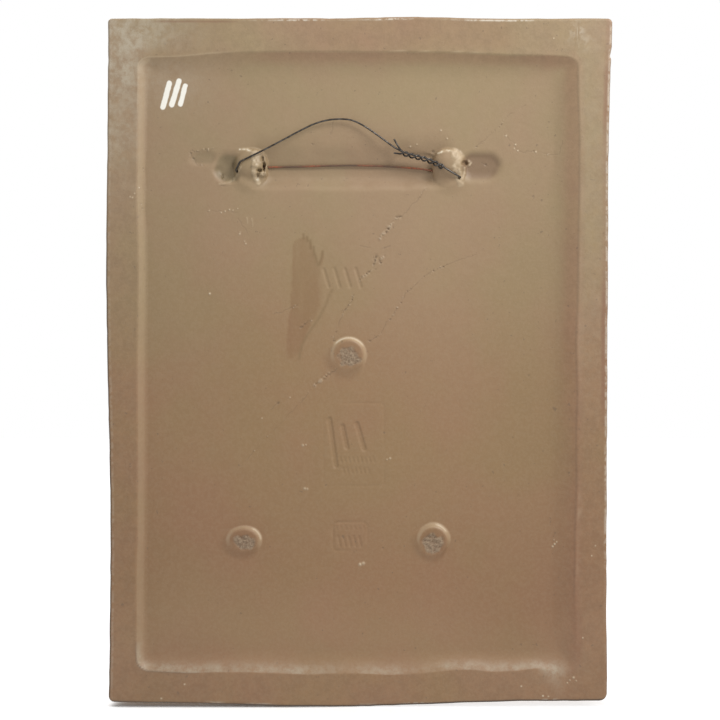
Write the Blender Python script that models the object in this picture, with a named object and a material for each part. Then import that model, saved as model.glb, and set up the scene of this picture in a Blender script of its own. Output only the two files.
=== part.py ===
"""Stoneware wall plaque seen as it hangs: decorated face to -Y, hollow back to +Y, +Z up, metres.

The origin is the seat of the wall hook, under the crown of the hanging wire. One ceramic piece
carries everything but the wire: a slab with a raised rim round a sunk back panel, a trench with
two bridges that the wire is threaded through, three round bosses, and a framed leaf relief on the
face. The wire is one length of soft steel, twisted on itself beside one bridge.
"""
import math

import bmesh
import bpy
from mathutils import Vector

# Outline of the slab, before its firing warp.
LEFT_X = 0.1090                 # left edge as the back is looked at, towards +X
RIGHT_X = -0.1205
TOP_Z = 0.0463
BOTTOM_Z = -0.2676
OUTLINE_CORNER = 0.0025

# Levels along Y, from the wall side to the face.
RIM_Y = 0.0020                  # flat top of the rim, which rests on the wall
PANEL_Y = -0.0025               # floor of the sunk panel
FIELD_Y = -0.0145               # ground of the relief on the face
FRAME_Y = -0.0180               # flat top of the face's frame
DRAFT = 0.0012                  # how far the face's outline lies inside the rim's

# Mouth of the sunk panel, inside the rim, and the ground inside the face's frame.
PANEL_BOX = (0.0958, -0.1068, 0.0306, -0.2536)
PANEL_CORNER = 0.0070
PANEL_SLOPE = 0.0058
FIELD_BOX = (0.0950, -0.1065, 0.0323, -0.2536)
FIELD_CORNER = 0.0060
FIELD_SLOPE = 0.0028

# Firing warp of the outline: the low edge sags, the top lifts beside its middle, the sides sway.
SAG, SAG_X, SAG_REACH = 0.0026, 0.0150, 0.0550
LIFT, LIFT_X, LIFT_REACH = 0.0007, -0.0290, 0.0220
SWAY, SWAY_Z, SWAY_LENGTH = 0.0007, -0.0750, 0.2250
TOP_FLARE, LOW_FLARE, FLARE_REACH = 0.0013, 0.0006, 0.0300

LONG_CUTS, SHORT_CUTS, CORNER_CUTS = 12, 10, 3

# Hanging trench and its two bridges.
TRENCH_X, TRENCH_Z = -0.0007, -0.0215
TRENCH_STRAIGHT, TRENCH_END = 0.0470, 0.0250
TRENCH_HALF_WIDTH, TRENCH_DEPTH = 0.0098, 0.0046
BRIDGE_X = {"left": 0.0433, "right": -0.0477}
BRIDGE_Z = -0.0215
BRIDGE_RADII = (0.0079, 0.0054, 0.0092)
BRIDGE_SQUARENESS = 0.85        # below 1 fills the lump's shoulders out
BRIDGE_Y = -0.0053
TUNNELS = {                     # both ends of the middle line, and the radius
    "left": ((0.0515, -0.0010, -0.0201), (0.0335, -0.0049, -0.0214), 0.0015),
    "right": ((-0.0368, -0.0049, -0.0224), (-0.0535, -0.0002, -0.0263), 0.0013),
}

# Round bosses: place, foot radius, top radius.
BOSSES = {
    "boss_middle": (-0.0018, -0.1070, 0.0087, 0.0058),
    "boss_low_left": (0.0467, -0.1942, 0.0078, 0.0047),
    "boss_low_right": (-0.0415, -0.1935, 0.0078, 0.0047),
}
BOSS_HEIGHT = 0.0036

# Leaf relief on the face: a stem with leaves in pairs that shrink upwards.
STEM_X, STEM_LOW_Z, STEM_HIGH_Z = -0.0058, -0.2400, -0.0250
STEM_BEND = 0.0070
STEM_RADII = (0.0034, 0.0020)   # at its foot and at its top
STEM_STEPS = 24
LEAF_PAIRS = 6
LEAF_FIRST_Z, LEAF_LAST_Z = -0.2110, -0.0560
LEAF_LENGTHS = (0.0800, 0.0480)
LEAF_SLENDER = 0.33             # width over length
LEAF_HEIGHT = 0.0030
LEAF_RISE = math.radians(34.0)  # of a lowest leaf above the horizontal
LEAF_RISE_GAIN = math.radians(16.0)
LAST_LEAF_LENGTH = 0.0500
LEAF_GAP = 0.0018               # from the stem's middle line to a leaf's foot

# Hanging wire: its route starts and ends at the two loose tips.
WIRE_RADIUS = 0.0004
ARC = (                         # from the left bridge's tunnel over the crown to the twist
    (0.0495, -0.0003, -0.0197), (0.0476, 0.0004, -0.0187), (0.0448, 0.0008, -0.0173),
    (0.0380, 0.0007, -0.0140), (0.0275, 0.0003, -0.0085), (0.0206, 0.0001, -0.0048),
    (0.0132, 0.0000, -0.0014), (0.0066, 0.0000, 0.0002), (0.0000, 0.0000, 0.0004),
    (-0.0040, 0.0000, -0.0004), (-0.0088, 0.0001, -0.0028), (-0.0147, 0.0003, -0.0068),
    (-0.0200, 0.0004, -0.0107), (-0.0227, 0.0005, -0.0126),
)
TWIST_AXIS = (
    (-0.0252, 0.0005, -0.0140), (-0.0284, 0.0005, -0.0152), (-0.0322, 0.0005, -0.0163),
    (-0.0368, 0.0005, -0.0178), (-0.0412, 0.0006, -0.0199),
)
LOWER_RUN = (                   # through the right bridge's tunnel and along the trench
    (-0.0512, -0.0008, -0.0257), (-0.0460, -0.0023, -0.0245), (-0.0395, -0.0041, -0.0230),
    (-0.0355, -0.0047, -0.0223), (-0.0290, -0.0047, -0.0217), (-0.0160, -0.0045, -0.0209),
    (0.0000, -0.0045, -0.0206), (0.0200, -0.0046, -0.0211), (0.0335, -0.0048, -0.0214),
    (0.0425, -0.0029, -0.0208), (0.0480, -0.0018, -0.0204), (0.0500, -0.0011, -0.0202),
)
OVER_RIGHT = (                  # from the twist over the right bridge into its tunnel
    (-0.0446, 0.0013, -0.0213), (-0.0475, 0.0013, -0.0230), (-0.0503, 0.0010, -0.0247),
    (-0.0520, 0.0004, -0.0256), (-0.0523, -0.0003, -0.0259),
)
TIP_UP = (-0.0223, 0.0013, -0.0087)
TIP_DOWN = (-0.0222, 0.0002, -0.0150)
COIL_RADIUS = 0.00095           # of the two strands wound round the third
COIL_TURNS = 3.5
POINTS_PER_TURN = 10
BEND_STEPS = 5


def collection(name):
    made = bpy.data.collections.new(name)
    bpy.context.scene.collection.children.link(made)
    return made


def link(name, mesh, group, cutter=False):
    obj = bpy.data.objects.new(name, mesh)
    group.objects.link(obj)
    if cutter:
        obj.hide_render = True
        obj.display_type = "WIRE"
    return obj


def mesh_from(bm, name):
    bmesh.ops.recalc_face_normals(bm, faces=bm.faces)
    mesh = bpy.data.meshes.new(name)
    bm.to_mesh(mesh)
    bm.free()
    return mesh


def material(name, colour, roughness, metallic):
    made = bpy.data.materials.new(name)
    made.use_nodes = True
    shader = made.node_tree.nodes["Principled BSDF"]
    shader.inputs["Base Color"].default_value = (*colour, 1.0)
    shader.inputs["Roughness"].default_value = roughness
    shader.inputs["Metallic"].default_value = metallic
    return made


def bump(value, centre, reach):
    return math.exp(-((value - centre) / reach) ** 2)


def warp(x, z, nx, nz):
    """How far the fired outline lies outside the drawn one, at a point whose outward normal is (nx, nz)."""
    if nz < -0.5:
        return SAG * bump(x, SAG_X, SAG_REACH)
    if nz > 0.5:
        return LIFT * bump(x, LIFT_X, LIFT_REACH)
    if nx > 0.5:
        return SWAY * math.cos(math.tau * (z - SWAY_Z) / SWAY_LENGTH)
    return TOP_FLARE * bump(z, TOP_Z, FLARE_REACH) + LOW_FLARE * bump(z, BOTTOM_Z, FLARE_REACH)


def loop(box, corner, inset, y, warped=0.0):
    """A rounded rectangle in the plane y, with the same number of points whatever its size."""
    left, right, top, bottom = box
    left, right, top, bottom = left - inset, right + inset, top - inset, bottom + inset
    corner = max(corner - inset, 0.0006)
    corners = (
        (left - corner, top - corner, 0.0, LONG_CUTS), (right + corner, top - corner, 90.0, SHORT_CUTS),
        (right + corner, bottom + corner, 180.0, LONG_CUTS), (left - corner, bottom + corner, 270.0, SHORT_CUTS),
    )
    points = []
    for number, (cx, cz, start, cuts) in enumerate(corners):
        before = corners[number - 1]
        angle = math.radians(start)
        nx, nz = math.cos(angle), math.sin(angle)
        from_x, from_z = before[0] + corner * nx, before[1] + corner * nz
        to_x, to_z = cx + corner * nx, cz + corner * nz
        for step in range(1, cuts):
            share = step / cuts
            x = from_x + (to_x - from_x) * share
            z = from_z + (to_z - from_z) * share
            out = warped * warp(x, z, nx, nz)
            points.append((x + nx * out, y, z + nz * out))
        side_out = warped * warp(to_x, to_z, nx, nz)
        for step in range(CORNER_CUTS + 1):
            turn = angle + math.radians(90.0) * step / CORNER_CUTS
            share = step / CORNER_CUTS
            next_out = warped * warp(to_x, to_z, math.cos(angle + math.pi / 2), math.sin(angle + math.pi / 2))
            points.append((
                cx + corner * math.cos(turn) + nx * side_out * (1 - share) - nz * next_out * share,
                y,
                cz + corner * math.sin(turn) + nz * side_out * (1 - share) + nx * next_out * share,
            ))
    return points


def loft(loops, name):
    """One closed body through loops of equal count, with its two end loops filled."""
    bm = bmesh.new()
    rows = [[bm.verts.new(point) for point in points] for points in loops]
    count = len(rows[0])
    for row, after in zip(rows, rows[1:]):
        for i in range(count):
            j = (i + 1) % count
            bm.faces.new((row[i], row[j], after[j], after[i]))
    bm.faces.new(rows[0])
    bm.faces.new(rows[-1])
    return mesh_from(bm, name)


def slab_mesh():
    outline = (LEFT_X, RIGHT_X, TOP_Z, BOTTOM_Z)
    back = [
        loop(PANEL_BOX, PANEL_CORNER, inset, y)
        for inset, y in (
            (PANEL_SLOPE, PANEL_Y), (PANEL_SLOPE - 0.0014, PANEL_Y + 0.0005),
            (0.0016, RIM_Y - 0.0012), (0.0006, RIM_Y - 0.0003), (0.0, RIM_Y),
        )
    ]
    edge = [
        loop(outline, OUTLINE_CORNER, inset, y, warped=1.0)
        for inset, y in (
            (0.0009, RIM_Y), (0.0002, RIM_Y - 0.0003), (0.0, RIM_Y - 0.0010),
            (DRAFT, FRAME_Y + 0.0014), (DRAFT + 0.0004, FRAME_Y + 0.0004), (DRAFT + 0.0014, FRAME_Y),
        )
    ]
    face = [
        loop(FIELD_BOX, FIELD_CORNER, inset, y)
        for inset, y in (
            (0.0, FRAME_Y), (0.0008, FRAME_Y + 0.0005), (FIELD_SLOPE - 0.0007, FIELD_Y - 0.0005),
            (FIELD_SLOPE, FIELD_Y),
        )
    ]
    return loft(back + edge + face, "plaque")


def ball_mesh(name, radii, segments, rings, stretch=0.0, squareness=1.0):
    """A ball with its poles along X, its halves moved apart by stretch."""
    bm = bmesh.new()
    bmesh.ops.create_uvsphere(bm, u_segments=segments, v_segments=rings, radius=1.0)
    for vert in bm.verts:
        along, across, up = (
            0.0 if abs(value) < 1e-6 else math.copysign(abs(value) ** squareness, value)
            for value in (vert.co.z, vert.co.x, vert.co.y)
        )
        shift = math.copysign(stretch, along) if along else 0.0
        vert.co = Vector((along * radii[0] + shift, across * radii[1], up * radii[2]))
    return mesh_from(bm, name)


def rod(name, start, end, radius, segments, group):
    """A closed cylinder from start to end."""
    start, end = Vector(start), Vector(end)
    bm = bmesh.new()
    bmesh.ops.create_cone(
        bm, cap_ends=True, segments=segments, radius1=radius, radius2=radius,
        depth=(end - start).length,
    )
    obj = link(name, mesh_from(bm, name), group, cutter=True)
    obj.location = (start + end) / 2
    obj.rotation_euler = (end - start).to_track_quat("Z", "Y").to_euler()
    return obj


def boss(name, x, z, foot, top, group):
    bm = bmesh.new()
    sunk = 0.0010
    slope = (foot - top) / BOSS_HEIGHT
    bmesh.ops.create_cone(
        bm, cap_ends=True, segments=28, radius1=foot + slope * sunk, radius2=top,
        depth=BOSS_HEIGHT + sunk,
    )
    obj = link(name, mesh_from(bm, name), group, cutter=True)
    obj.location = (x, PANEL_Y + (BOSS_HEIGHT - sunk) / 2, z)
    obj.rotation_euler = (math.radians(-90.0), 0.0, 0.0)
    return obj


def stem_point(share):
    """The middle line of the relief's stem, from its foot (0) to its top (1)."""
    x = STEM_X + STEM_BEND * math.sin(math.tau * share) * (1.0 - 0.5 * share)
    return Vector((x, FIELD_Y, STEM_LOW_Z + (STEM_HIGH_Z - STEM_LOW_Z) * share))


def add_leaf(bm, foot, length, angle):
    """A pointed, domed leaf that starts at foot and runs at angle from +X towards +Z."""
    made = bmesh.ops.create_uvsphere(bm, u_segments=12, v_segments=10, radius=1.0)["verts"]
    along = Vector((math.cos(angle), 0.0, math.sin(angle)))
    across = Vector((-math.sin(angle), 0.0, math.cos(angle)))
    for vert in made:
        t, side, up = vert.co.z, vert.co.x, vert.co.y
        taper = (1.0 - t * t) ** 0.3 * (1.0 - 0.25 * t) if abs(t) < 1.0 else 0.0
        vert.co = (
            foot + along * length * (t + 1.0) / 2
            + across * side * taper * length * LEAF_SLENDER / 2
            + Vector((0.0, up * LEAF_HEIGHT, 0.0))
        )


def leaves(group):
    bm = bmesh.new()
    for pair in range(LEAF_PAIRS):
        share = pair / (LEAF_PAIRS - 1)
        length = LEAF_LENGTHS[0] + (LEAF_LENGTHS[1] - LEAF_LENGTHS[0]) * share
        z = LEAF_FIRST_Z + (LEAF_LAST_Z - LEAF_FIRST_Z) * share
        rise = LEAF_RISE + LEAF_RISE_GAIN * share
        foot = stem_point((z - STEM_LOW_Z) / (STEM_HIGH_Z - STEM_LOW_Z))
        for side in (1.0, -1.0):
            start = foot + Vector((side * LEAF_GAP, 0.0, -side * LEAF_GAP))
            add_leaf(bm, start, length, rise if side > 0 else math.pi - rise)
    add_leaf(bm, stem_point(0.97), LAST_LEAF_LENGTH, math.pi / 2)
    return link("leaves", mesh_from(bm, "leaves"), group, cutter=True)


def tube(name, points, radius, group, thinning=0.0):
    """A round rod along points, whose radius falls by the share thinning from start to end."""
    curve = bpy.data.curves.new(name, "CURVE")
    curve.dimensions = "3D"
    curve.bevel_depth = radius
    curve.bevel_resolution = 2
    curve.use_fill_caps = True
    spline = curve.splines.new("POLY")
    spline.points.add(len(points) - 1)
    for number, (point, place) in enumerate(zip(spline.points, points)):
        point.co = (*place, 1.0)
        point.radius = 1.0 - thinning * number / (len(points) - 1)
    return link(name, curve, group)


def stem(group):
    """The stem as a closed mesh, its two ends turned down into the ground of the relief."""
    points = [stem_point(step / STEM_STEPS) for step in range(STEM_STEPS + 1)]
    for end in (0, -1):
        points[end].y += STEM_RADII[0] * 2
    curve = tube("stem_curve", points, STEM_RADII[0], group, 1.0 - STEM_RADII[1] / STEM_RADII[0])
    mesh = bpy.data.meshes.new_from_object(curve.evaluated_get(bpy.context.evaluated_depsgraph_get()))
    bm = bmesh.new()
    bm.from_mesh(mesh)
    bmesh.ops.remove_doubles(bm, verts=bm.verts, dist=1e-6)
    bpy.data.meshes.remove(mesh)
    made = link("stem", mesh_from(bm, "stem"), group, cutter=True)
    made.matrix_world = curve.matrix_world
    bpy.data.objects.remove(curve)
    return made


def cut(obj, tool, operation):
    step = obj.modifiers.new(tool.name, "BOOLEAN")
    step.operation = operation
    step.solver = "EXACT"
    step.object = tool


def make_plaque(group, tools):
    plaque = link("plaque", slab_mesh(), group)
    trench = link(
        "trench",
        ball_mesh("trench", (TRENCH_END, TRENCH_DEPTH, TRENCH_HALF_WIDTH), 24, 16, TRENCH_STRAIGHT),
        tools, cutter=True,
    )
    trench.location = (TRENCH_X, PANEL_Y, TRENCH_Z)
    cut(plaque, trench, "DIFFERENCE")
    for side, x in BRIDGE_X.items():
        shape = ball_mesh("bridge_" + side, BRIDGE_RADII, 24, 14, squareness=BRIDGE_SQUARENESS)
        lump = link("bridge_" + side, shape, tools, cutter=True)
        lump.location = (x, BRIDGE_Y, BRIDGE_Z)
        cut(plaque, lump, "UNION")
        cut(plaque, rod("tunnel_" + side, *TUNNELS[side], 12, tools), "DIFFERENCE")
    for name, (x, z, foot, top) in BOSSES.items():
        cut(plaque, boss(name, x, z, foot, top, tools), "UNION")
    cut(plaque, stem(tools), "UNION")
    cut(plaque, leaves(tools), "UNION")
    plaque.data.materials.append(material("stoneware", (0.30, 0.205, 0.135), 0.75, 0.0))
    return plaque


def smooth(points, per_span):
    """Points on a smooth curve through the given ones (Catmull-Rom, centripetal)."""
    keys = [Vector(point) for point in points]
    keys = [keys[0] * 2 - keys[1]] + keys + [keys[-1] * 2 - keys[-2]]
    out = []
    for a, b, c, d in zip(keys, keys[1:], keys[2:], keys[3:]):
        knots = [0.0]
        for p, q in ((a, b), (b, c), (c, d)):
            knots.append(knots[-1] + math.sqrt((q - p).length))
        steps = max(1, round(per_span * (c - b).length / 0.004))
        for step in range(steps):
            t = knots[1] + (knots[2] - knots[1]) * step / steps
            ab = a + (b - a) * (t - knots[0]) / (knots[1] - knots[0])
            bc = b + (c - b) * (t - knots[1]) / (knots[2] - knots[1])
            cd = c + (d - c) * (t - knots[2]) / (knots[3] - knots[2])
            abc = ab + (bc - ab) * (t - knots[0]) / (knots[2] - knots[0])
            bcd = bc + (cd - bc) * (t - knots[1]) / (knots[3] - knots[1])
            out.append(abc + (bcd - abc) * (t - knots[1]) / (knots[2] - knots[1]))
    out.append(keys[-2])
    return out


def bend(start, leaving, end, arriving, reach):
    """Points strictly between start and end, on a curve that leaves and arrives in given directions."""
    near, far = start + leaving * reach, end - arriving * reach
    points = []
    for step in range(1, BEND_STEPS):
        t = step / BEND_STEPS
        ahead = start.lerp(near, t), near.lerp(far, t), far.lerp(end, t)
        points.append(ahead[0].lerp(ahead[1], t).lerp(ahead[1].lerp(ahead[2], t), t))
    return points


def coil(axis, phase):
    """A strand wound round the twist's axis from its left end to its right end, phase 0 lowest."""
    count = round(COIL_TURNS * POINTS_PER_TURN)
    points = []
    for step in range(count + 1):
        share = step / count
        place = share * (len(axis) - 1)
        low = min(int(place), len(axis) - 2)
        run = (axis[low + 1] - axis[low]).normalized()
        down = run.cross(Vector((0.0, 1.0, 0.0))).normalized()
        angle = phase + math.tau * COIL_TURNS * share
        offset = down * math.cos(angle) + down.cross(run) * math.sin(angle)
        points.append(axis[low].lerp(axis[low + 1], place - low) + offset * COIL_RADIUS)
    return points


def direction(start, end):
    return (end - start).normalized()


def wire_route():
    """From the lower tip round the twist, through both bridges, over the arc and back to the upper tip."""
    axis = smooth(TWIST_AXIS, 4)
    outward = coil(axis, 0.0)
    homeward = coil(axis, math.pi)[::-1]
    core = axis[::2] if len(axis) % 2 else axis[::2] + axis[-1:]
    loose, upper = Vector(TIP_DOWN), Vector(TIP_UP)
    around = smooth(OVER_RIGHT + LOWER_RUN + ARC, 3)
    first_run, last_run = direction(*outward[:2]), direction(*homeward[-2:])
    route = [loose] + bend(loose, direction(loose, outward[0]), outward[0], first_run, 0.0010) + outward
    route += bend(outward[-1], direction(*outward[-2:]), around[0], direction(*around[:2]), 0.0008)
    route += around
    route += core
    route += bend(core[-1], direction(*core[-2:]), homeward[0], direction(*homeward[:2]), 0.0011)
    route += homeward
    route += bend(homeward[-1], last_run, upper, direction(homeward[-1], upper), 0.0010) + [upper]
    return route


def make_wire(group):
    wire = tube("hanging_wire", wire_route(), WIRE_RADIUS, group)
    wire.data.materials.append(material("wire_steel", (0.10, 0.095, 0.09), 0.45, 1.0))
    return wire


def main():
    for obj in list(bpy.data.objects):
        bpy.data.objects.remove(obj)
    parts = collection("wall_plaque")
    tools = collection("cutters")
    make_plaque(parts, tools)
    make_wire(parts)


main()
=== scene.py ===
"""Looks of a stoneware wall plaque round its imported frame: hollow back to +Y, relief to -Y, +Z up.

Two pieces are shown. The slab is one closed mesh, made as a height map for each side on a grid that
is finer where the clay has detail, joined round the edge, and bored for the wire. The wire is a tube
along the route of the CAD solid, with more sides and more points. Lengths and places are in mm, and
in metres only in the materials and the studio.
"""
import math

import bmesh
import bpy
import numpy as np
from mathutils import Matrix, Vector
from mathutils.geometry import interpolate_bezier


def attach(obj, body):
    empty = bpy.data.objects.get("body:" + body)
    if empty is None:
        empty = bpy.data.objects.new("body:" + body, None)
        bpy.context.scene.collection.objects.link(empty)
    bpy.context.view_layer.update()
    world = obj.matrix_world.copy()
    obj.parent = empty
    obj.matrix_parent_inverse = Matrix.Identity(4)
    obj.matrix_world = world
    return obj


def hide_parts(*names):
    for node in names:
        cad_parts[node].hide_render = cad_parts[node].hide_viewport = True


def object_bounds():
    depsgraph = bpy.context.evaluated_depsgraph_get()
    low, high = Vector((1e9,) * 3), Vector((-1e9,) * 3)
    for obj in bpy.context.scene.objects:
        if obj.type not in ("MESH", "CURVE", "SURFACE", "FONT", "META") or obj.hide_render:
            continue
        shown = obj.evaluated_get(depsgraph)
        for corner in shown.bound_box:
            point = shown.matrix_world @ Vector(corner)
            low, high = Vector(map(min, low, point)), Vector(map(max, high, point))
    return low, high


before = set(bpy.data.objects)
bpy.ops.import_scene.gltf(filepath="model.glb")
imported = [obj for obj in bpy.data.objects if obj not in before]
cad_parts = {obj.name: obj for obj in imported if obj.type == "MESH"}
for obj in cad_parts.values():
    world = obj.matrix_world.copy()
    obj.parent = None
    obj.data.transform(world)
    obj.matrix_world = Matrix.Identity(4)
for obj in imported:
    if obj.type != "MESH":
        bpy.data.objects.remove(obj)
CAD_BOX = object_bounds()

UNIT = 1e-3                     # a millimetre in the metres of the scene

# The slab, as in the CAD source unless a comment says otherwise.
LEFT_X, RIGHT_X, TOP_Z, BOTTOM_Z = 109, -120.5, 46.3, -267.6
RIM_Y, PANEL_Y, FIELD_Y, FRAME_Y = 2, -2.5, -14.5, -18
DRAFT = 1.2
PANEL_BOX = (95.8, -106.8, 30.6, -253.6)
PANEL_CORNER, PANEL_BLEND = 6.2, 20                # of the lip, and of the slopes where two meet
FIELD_BOX = (95, -106.5, 32.3, -253.6)
FIELD_CORNER, FIELD_REACH, FIELD_POWER, FIELD_BLUR = 6, 3, 1.8, 0.4
SEAM_Y = -10.5                  # what lies beyond it belongs to the face
SAG, SAG_X, SAG_REACH = 2.6, 15, 55
LIFT, LIFT_X, LIFT_REACH = 0.7, -29, 22
LOW_WAVES = ((0.5, -30, 35), (0.5, 90, 22))                          # not in the CAD: more sag, place, reach
NICK, NICK_Z, NICK_REACH = 0.7, 31, 1.2                              # not in the CAD: in the right edge
SWAY, SWAY_Z, SWAY_LENGTH = 0.7, -75, 225
TOP_FLARE, LOW_FLARE, FLARE_REACH = 1.3, 0.6, 30
WARP_DEPTH = 11                 # how far in from the edge the warp of the outline is felt
OUTLINE_INSET = 0.15            # how far the fine slab's outline stays inside the solid's
BRIDGE_X = (43.3, -47.7)
BRIDGE_Z, BRIDGE_Y, BRIDGE_POWER = -21.5, -5.3, 2.35
BRIDGE_RADII = (7.9, 5.4, 9.2)
BRIDGE_SLUMP = 0.42             # not in the CAD: how much lower at the foot, where the clay is smeared
BRIDGE_APRON = 0.8              # and how thick the smeared clay is
BRIDGE_BLEND, FOOT_BLEND = 0.9, 3                   # fillet round a bridge, and how much more at its foot
BOSSES = (
    # Place; radii of the foot and the top; height over width; how far the top lies above the foot's
    # middle; the painted highlight on its slope, an arc: radius, and from and to which angle, clockwise from
    # above.
    (-1.6, -107.7, 8.6, 6.2, 1.0, 0.4, 8, (-50, 55)),
    (46.8, -193.1, 8.6, 6, 0.8, 0, 7.8, (30, 88)),
    (-40.7, -192.6, 7.9, 6, 0.98, -0.8, 6.8, (10, 60)),
)
BOSS_HEIGHT, BOSS_SMEAR = 2.1, 3.6
STEM_X, STEM_LOW_Z, STEM_HIGH_Z, STEM_BEND = -5.8, -240, -25, 7
STEM_RADII, STEM_STEPS = (3.4, 2), 24
LEAF_PAIRS, LEAF_FIRST_Z, LEAF_LAST_Z = 6, -211, -56
LEAF_LENGTHS, LAST_LEAF_LENGTH = (80, 48), 50
LEAF_SLENDER, LEAF_HEIGHT, LEAF_GAP = 0.33, 3, 1.8
LEAF_RISE, LEAF_RISE_GAIN = math.radians(34.0), math.radians(16.0)
VEINS, RIB_CUT, VEIN_CUT = 13, 0.22, 0.16           # along a leaf, and how deep they are cut

# Corner radii of the outline, by side (+1 is +X, +Z), and distances of the grid's lines in mm.
CORNERS = {(1, 1): 1.7, (-1, 1): 2.1, (1, -1): 2.6, (-1, -1): 3.6}
EDGE_STEPS = (0.0, 0.12, 0.35, 0.65, 1.0, 1.5, 2.2, 3.4)
LIP_STEPS = (-1.0, -0.5, -0.15, 0.2, 0.6, 1.1, 1.8, 2.7, 3.8, 5.2, 7.0, 9.2, 11.5)
FACE_LIP_STEPS = (-0.8, -0.4, -0.1, 0.2, 0.5, 0.8, 1.2, 1.7, 2.2, 2.8, 3.6, 4.8, 6.5)
RIM_CELLS = 4
CELLS = (49, 72)                # inside the slopes, along X and Z
CELL = 3.6
LEVELS = 4
MEDIUM, FINE, FINEST = 0.8, 0.4, 0.2                # sizes of cell where there is detail
HANGING_BOX, HANGING_CORNER = (75, -74, -8, -35), 10                 # round the trench and the bridges
ARRIS, FACE_ARRIS = 1, 1.4
SIDE_LOOPS = 7

# Slope of the sunk panel on the left, right, top and bottom: reach, and how much steeper it is at the lip.
SLOPES = ((3.8, 1.02), (11.5, 1.2), (12, 2.0), (8.8, 2.2))
TOP_HOLD, RIGHT_HOLD, LEFT_HOLD, HOLD_REACH = 0.36, 0.52, 0.2, 22        # shallower inside these lips
CORNER_HOLD = 0.26              # and more so towards the upper left corner
LIP_REACH = 6
LIP_BLUR, CORNER_BLUR = 0.15, 3.3              # of the lip, and more at its lower right corner
LIPS = (                        # how far each lip lies inside its plain line, in mm: place along it, shift
    ((-240, -0.9), (-215, -0.9), (-190, -0.4), (-145, 0.1), (-100, 0.2), (-78, 0.8), (-55, 0.8), (-35, 0.1),
     (-9, 0.6), (15, 1.4)),     # left, by z
    ((-236, 0.4), (-213, 1.2), (-190, 0.9), (-165, 0.2), (-147, 0.5), (-124, -0.1), (-101, 0.8), (-78, 0.0),
     (-32, -0.5), (-9, -0.5), (14, 0.4)),                                                   # right, by z
    ((-103, 1.8), (-96, 1.2), (-89, 0.9), (-75, 0.7), (-61.5, 0.0), (-48, -0.5), (-30, -0.8), (35, -0.9),
     (48, -0.6), (61.5, 0.2), (75, 1.8), (89, 2.2)),                                        # top, by x
    ((-97.5, 0.4), (-94, 0.5), (-90.5, 1.6), (-85.5, 1.3), (-80.8, 0.5), (-76, 0.2), (-67, -0.1), (-60, 0.9),
     (-50, 0.8), (-39, -0.4), (-30, -1.3), (-20.5, -1.6), (-11.5, -1.1), (-2, -0.8), (7, -1.0), (16, -1.5),
     (25, -1.1), (34.5, -0.8), (44, -0.3), (62.5, -0.4), (72, -0.8), (81, -0.4), (88, 0.0)),    # bottom, by x
)

# Hollows in mm: middle x, z; half length of the straight part; end; half width above and below; depth; flat
# share above and below.
HOLLOWS = (
    (-1.0, -22.0, 40.0, 13.0, 17.5, 10.6, 3.1, -0.45, 0.3),
    (53.4, -21.6, 1.0, 7.4, 8.8, 8.2, 2.3, 0.05, 0.4),
    (65.0, -17.6, 1.8, 6.0, 4.6, 4.2, 0.7, 0.35, 0.35),
    (-62.0, -21.4, 3.6, 7.2, 8.2, 8.2, 1.3, 0.5, 0.3),
    (-32.0, -20.5, 5.0, 9.0, 7.2, 8.0, 2.5, 0.6, 0.2),
)

# Torn and smeared clay round the bridges, in mm: points, half width, height, paleness.
RIDGES = (
    (((48.4, -13.2), (45.2, -13.3), (41.7, -14.6)), 0.55, 0.35, 1.0),
    (((41.6, -15.4), (40.9, -17.2), (40.9, -19.8)), 1.6, 0.45, 0.8),
    (((41.4, -20.6), (41.9, -23.4), (40.9, -26.2), (39.8, -28.6)), 1.1, 0.5, 0.8),
    (((38.4, -24.3), (36.9, -24.9)), 1.05, 1.6, 0.55),
    (((48.0, -21.4), (49.6, -24.6), (51.3, -27.2), (54.8, -28.8), (57.6, -29.2)), 0.6, 0.3, 0.3),
    (((-42.4, -15.0), (-45.5, -13.8), (-48.6, -13.9)), 0.55, 0.35, 1.0),
    (((-50.2, -15.0), (-51.9, -16.6), (-51.3, -19.6), (-51.0, -22.6)), 2.0, 0.35, 0.68),
    (((-51.3, -23.0), (-52.0, -25.4), (-52.2, -27.4), (-52.8, -29.0)), 1.5, 0.4, 0.68),
    (((-54.8, -21.6), (-54.6, -24.4), (-53.6, -27.0)), 0.45, 0.4, 0.8),
    (((42.9, -44.8), (42.5, -48.4)), 0.28, 0.1, 0.45),
    (((45.2, -44.4), (44.8, -47.0)), 0.28, 0.1, 0.35),
    (((-56.6, -18.6), (-57.6, -19.6), (-56.8, -20.6)), 0.45, 0.8, 0.8),
)
# Pits in it, in mm: x, z, radii, depth.
PITS = (
    (38, -17.8, 0.7, 1.6, 1.8), (37.3, -20.9, 0.8, 2.4, 3), (39.2, -22.9, 1.2, 0.8, 2.4),
    (40.2, -25.2, 0.6, 1, 1.4), (-54.6, -19.5, 1.7, 1.2, 2.2), (-52, -26.6, 0.6, 0.6, 1.6),
    (50.9, -20.4, 0.8, 2.4, 0.8), (-38.9, -22.8, 0.9, 0.8, 1), (56.4, -25.6, 0.5, 1.3, 0.7),
)

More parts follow.
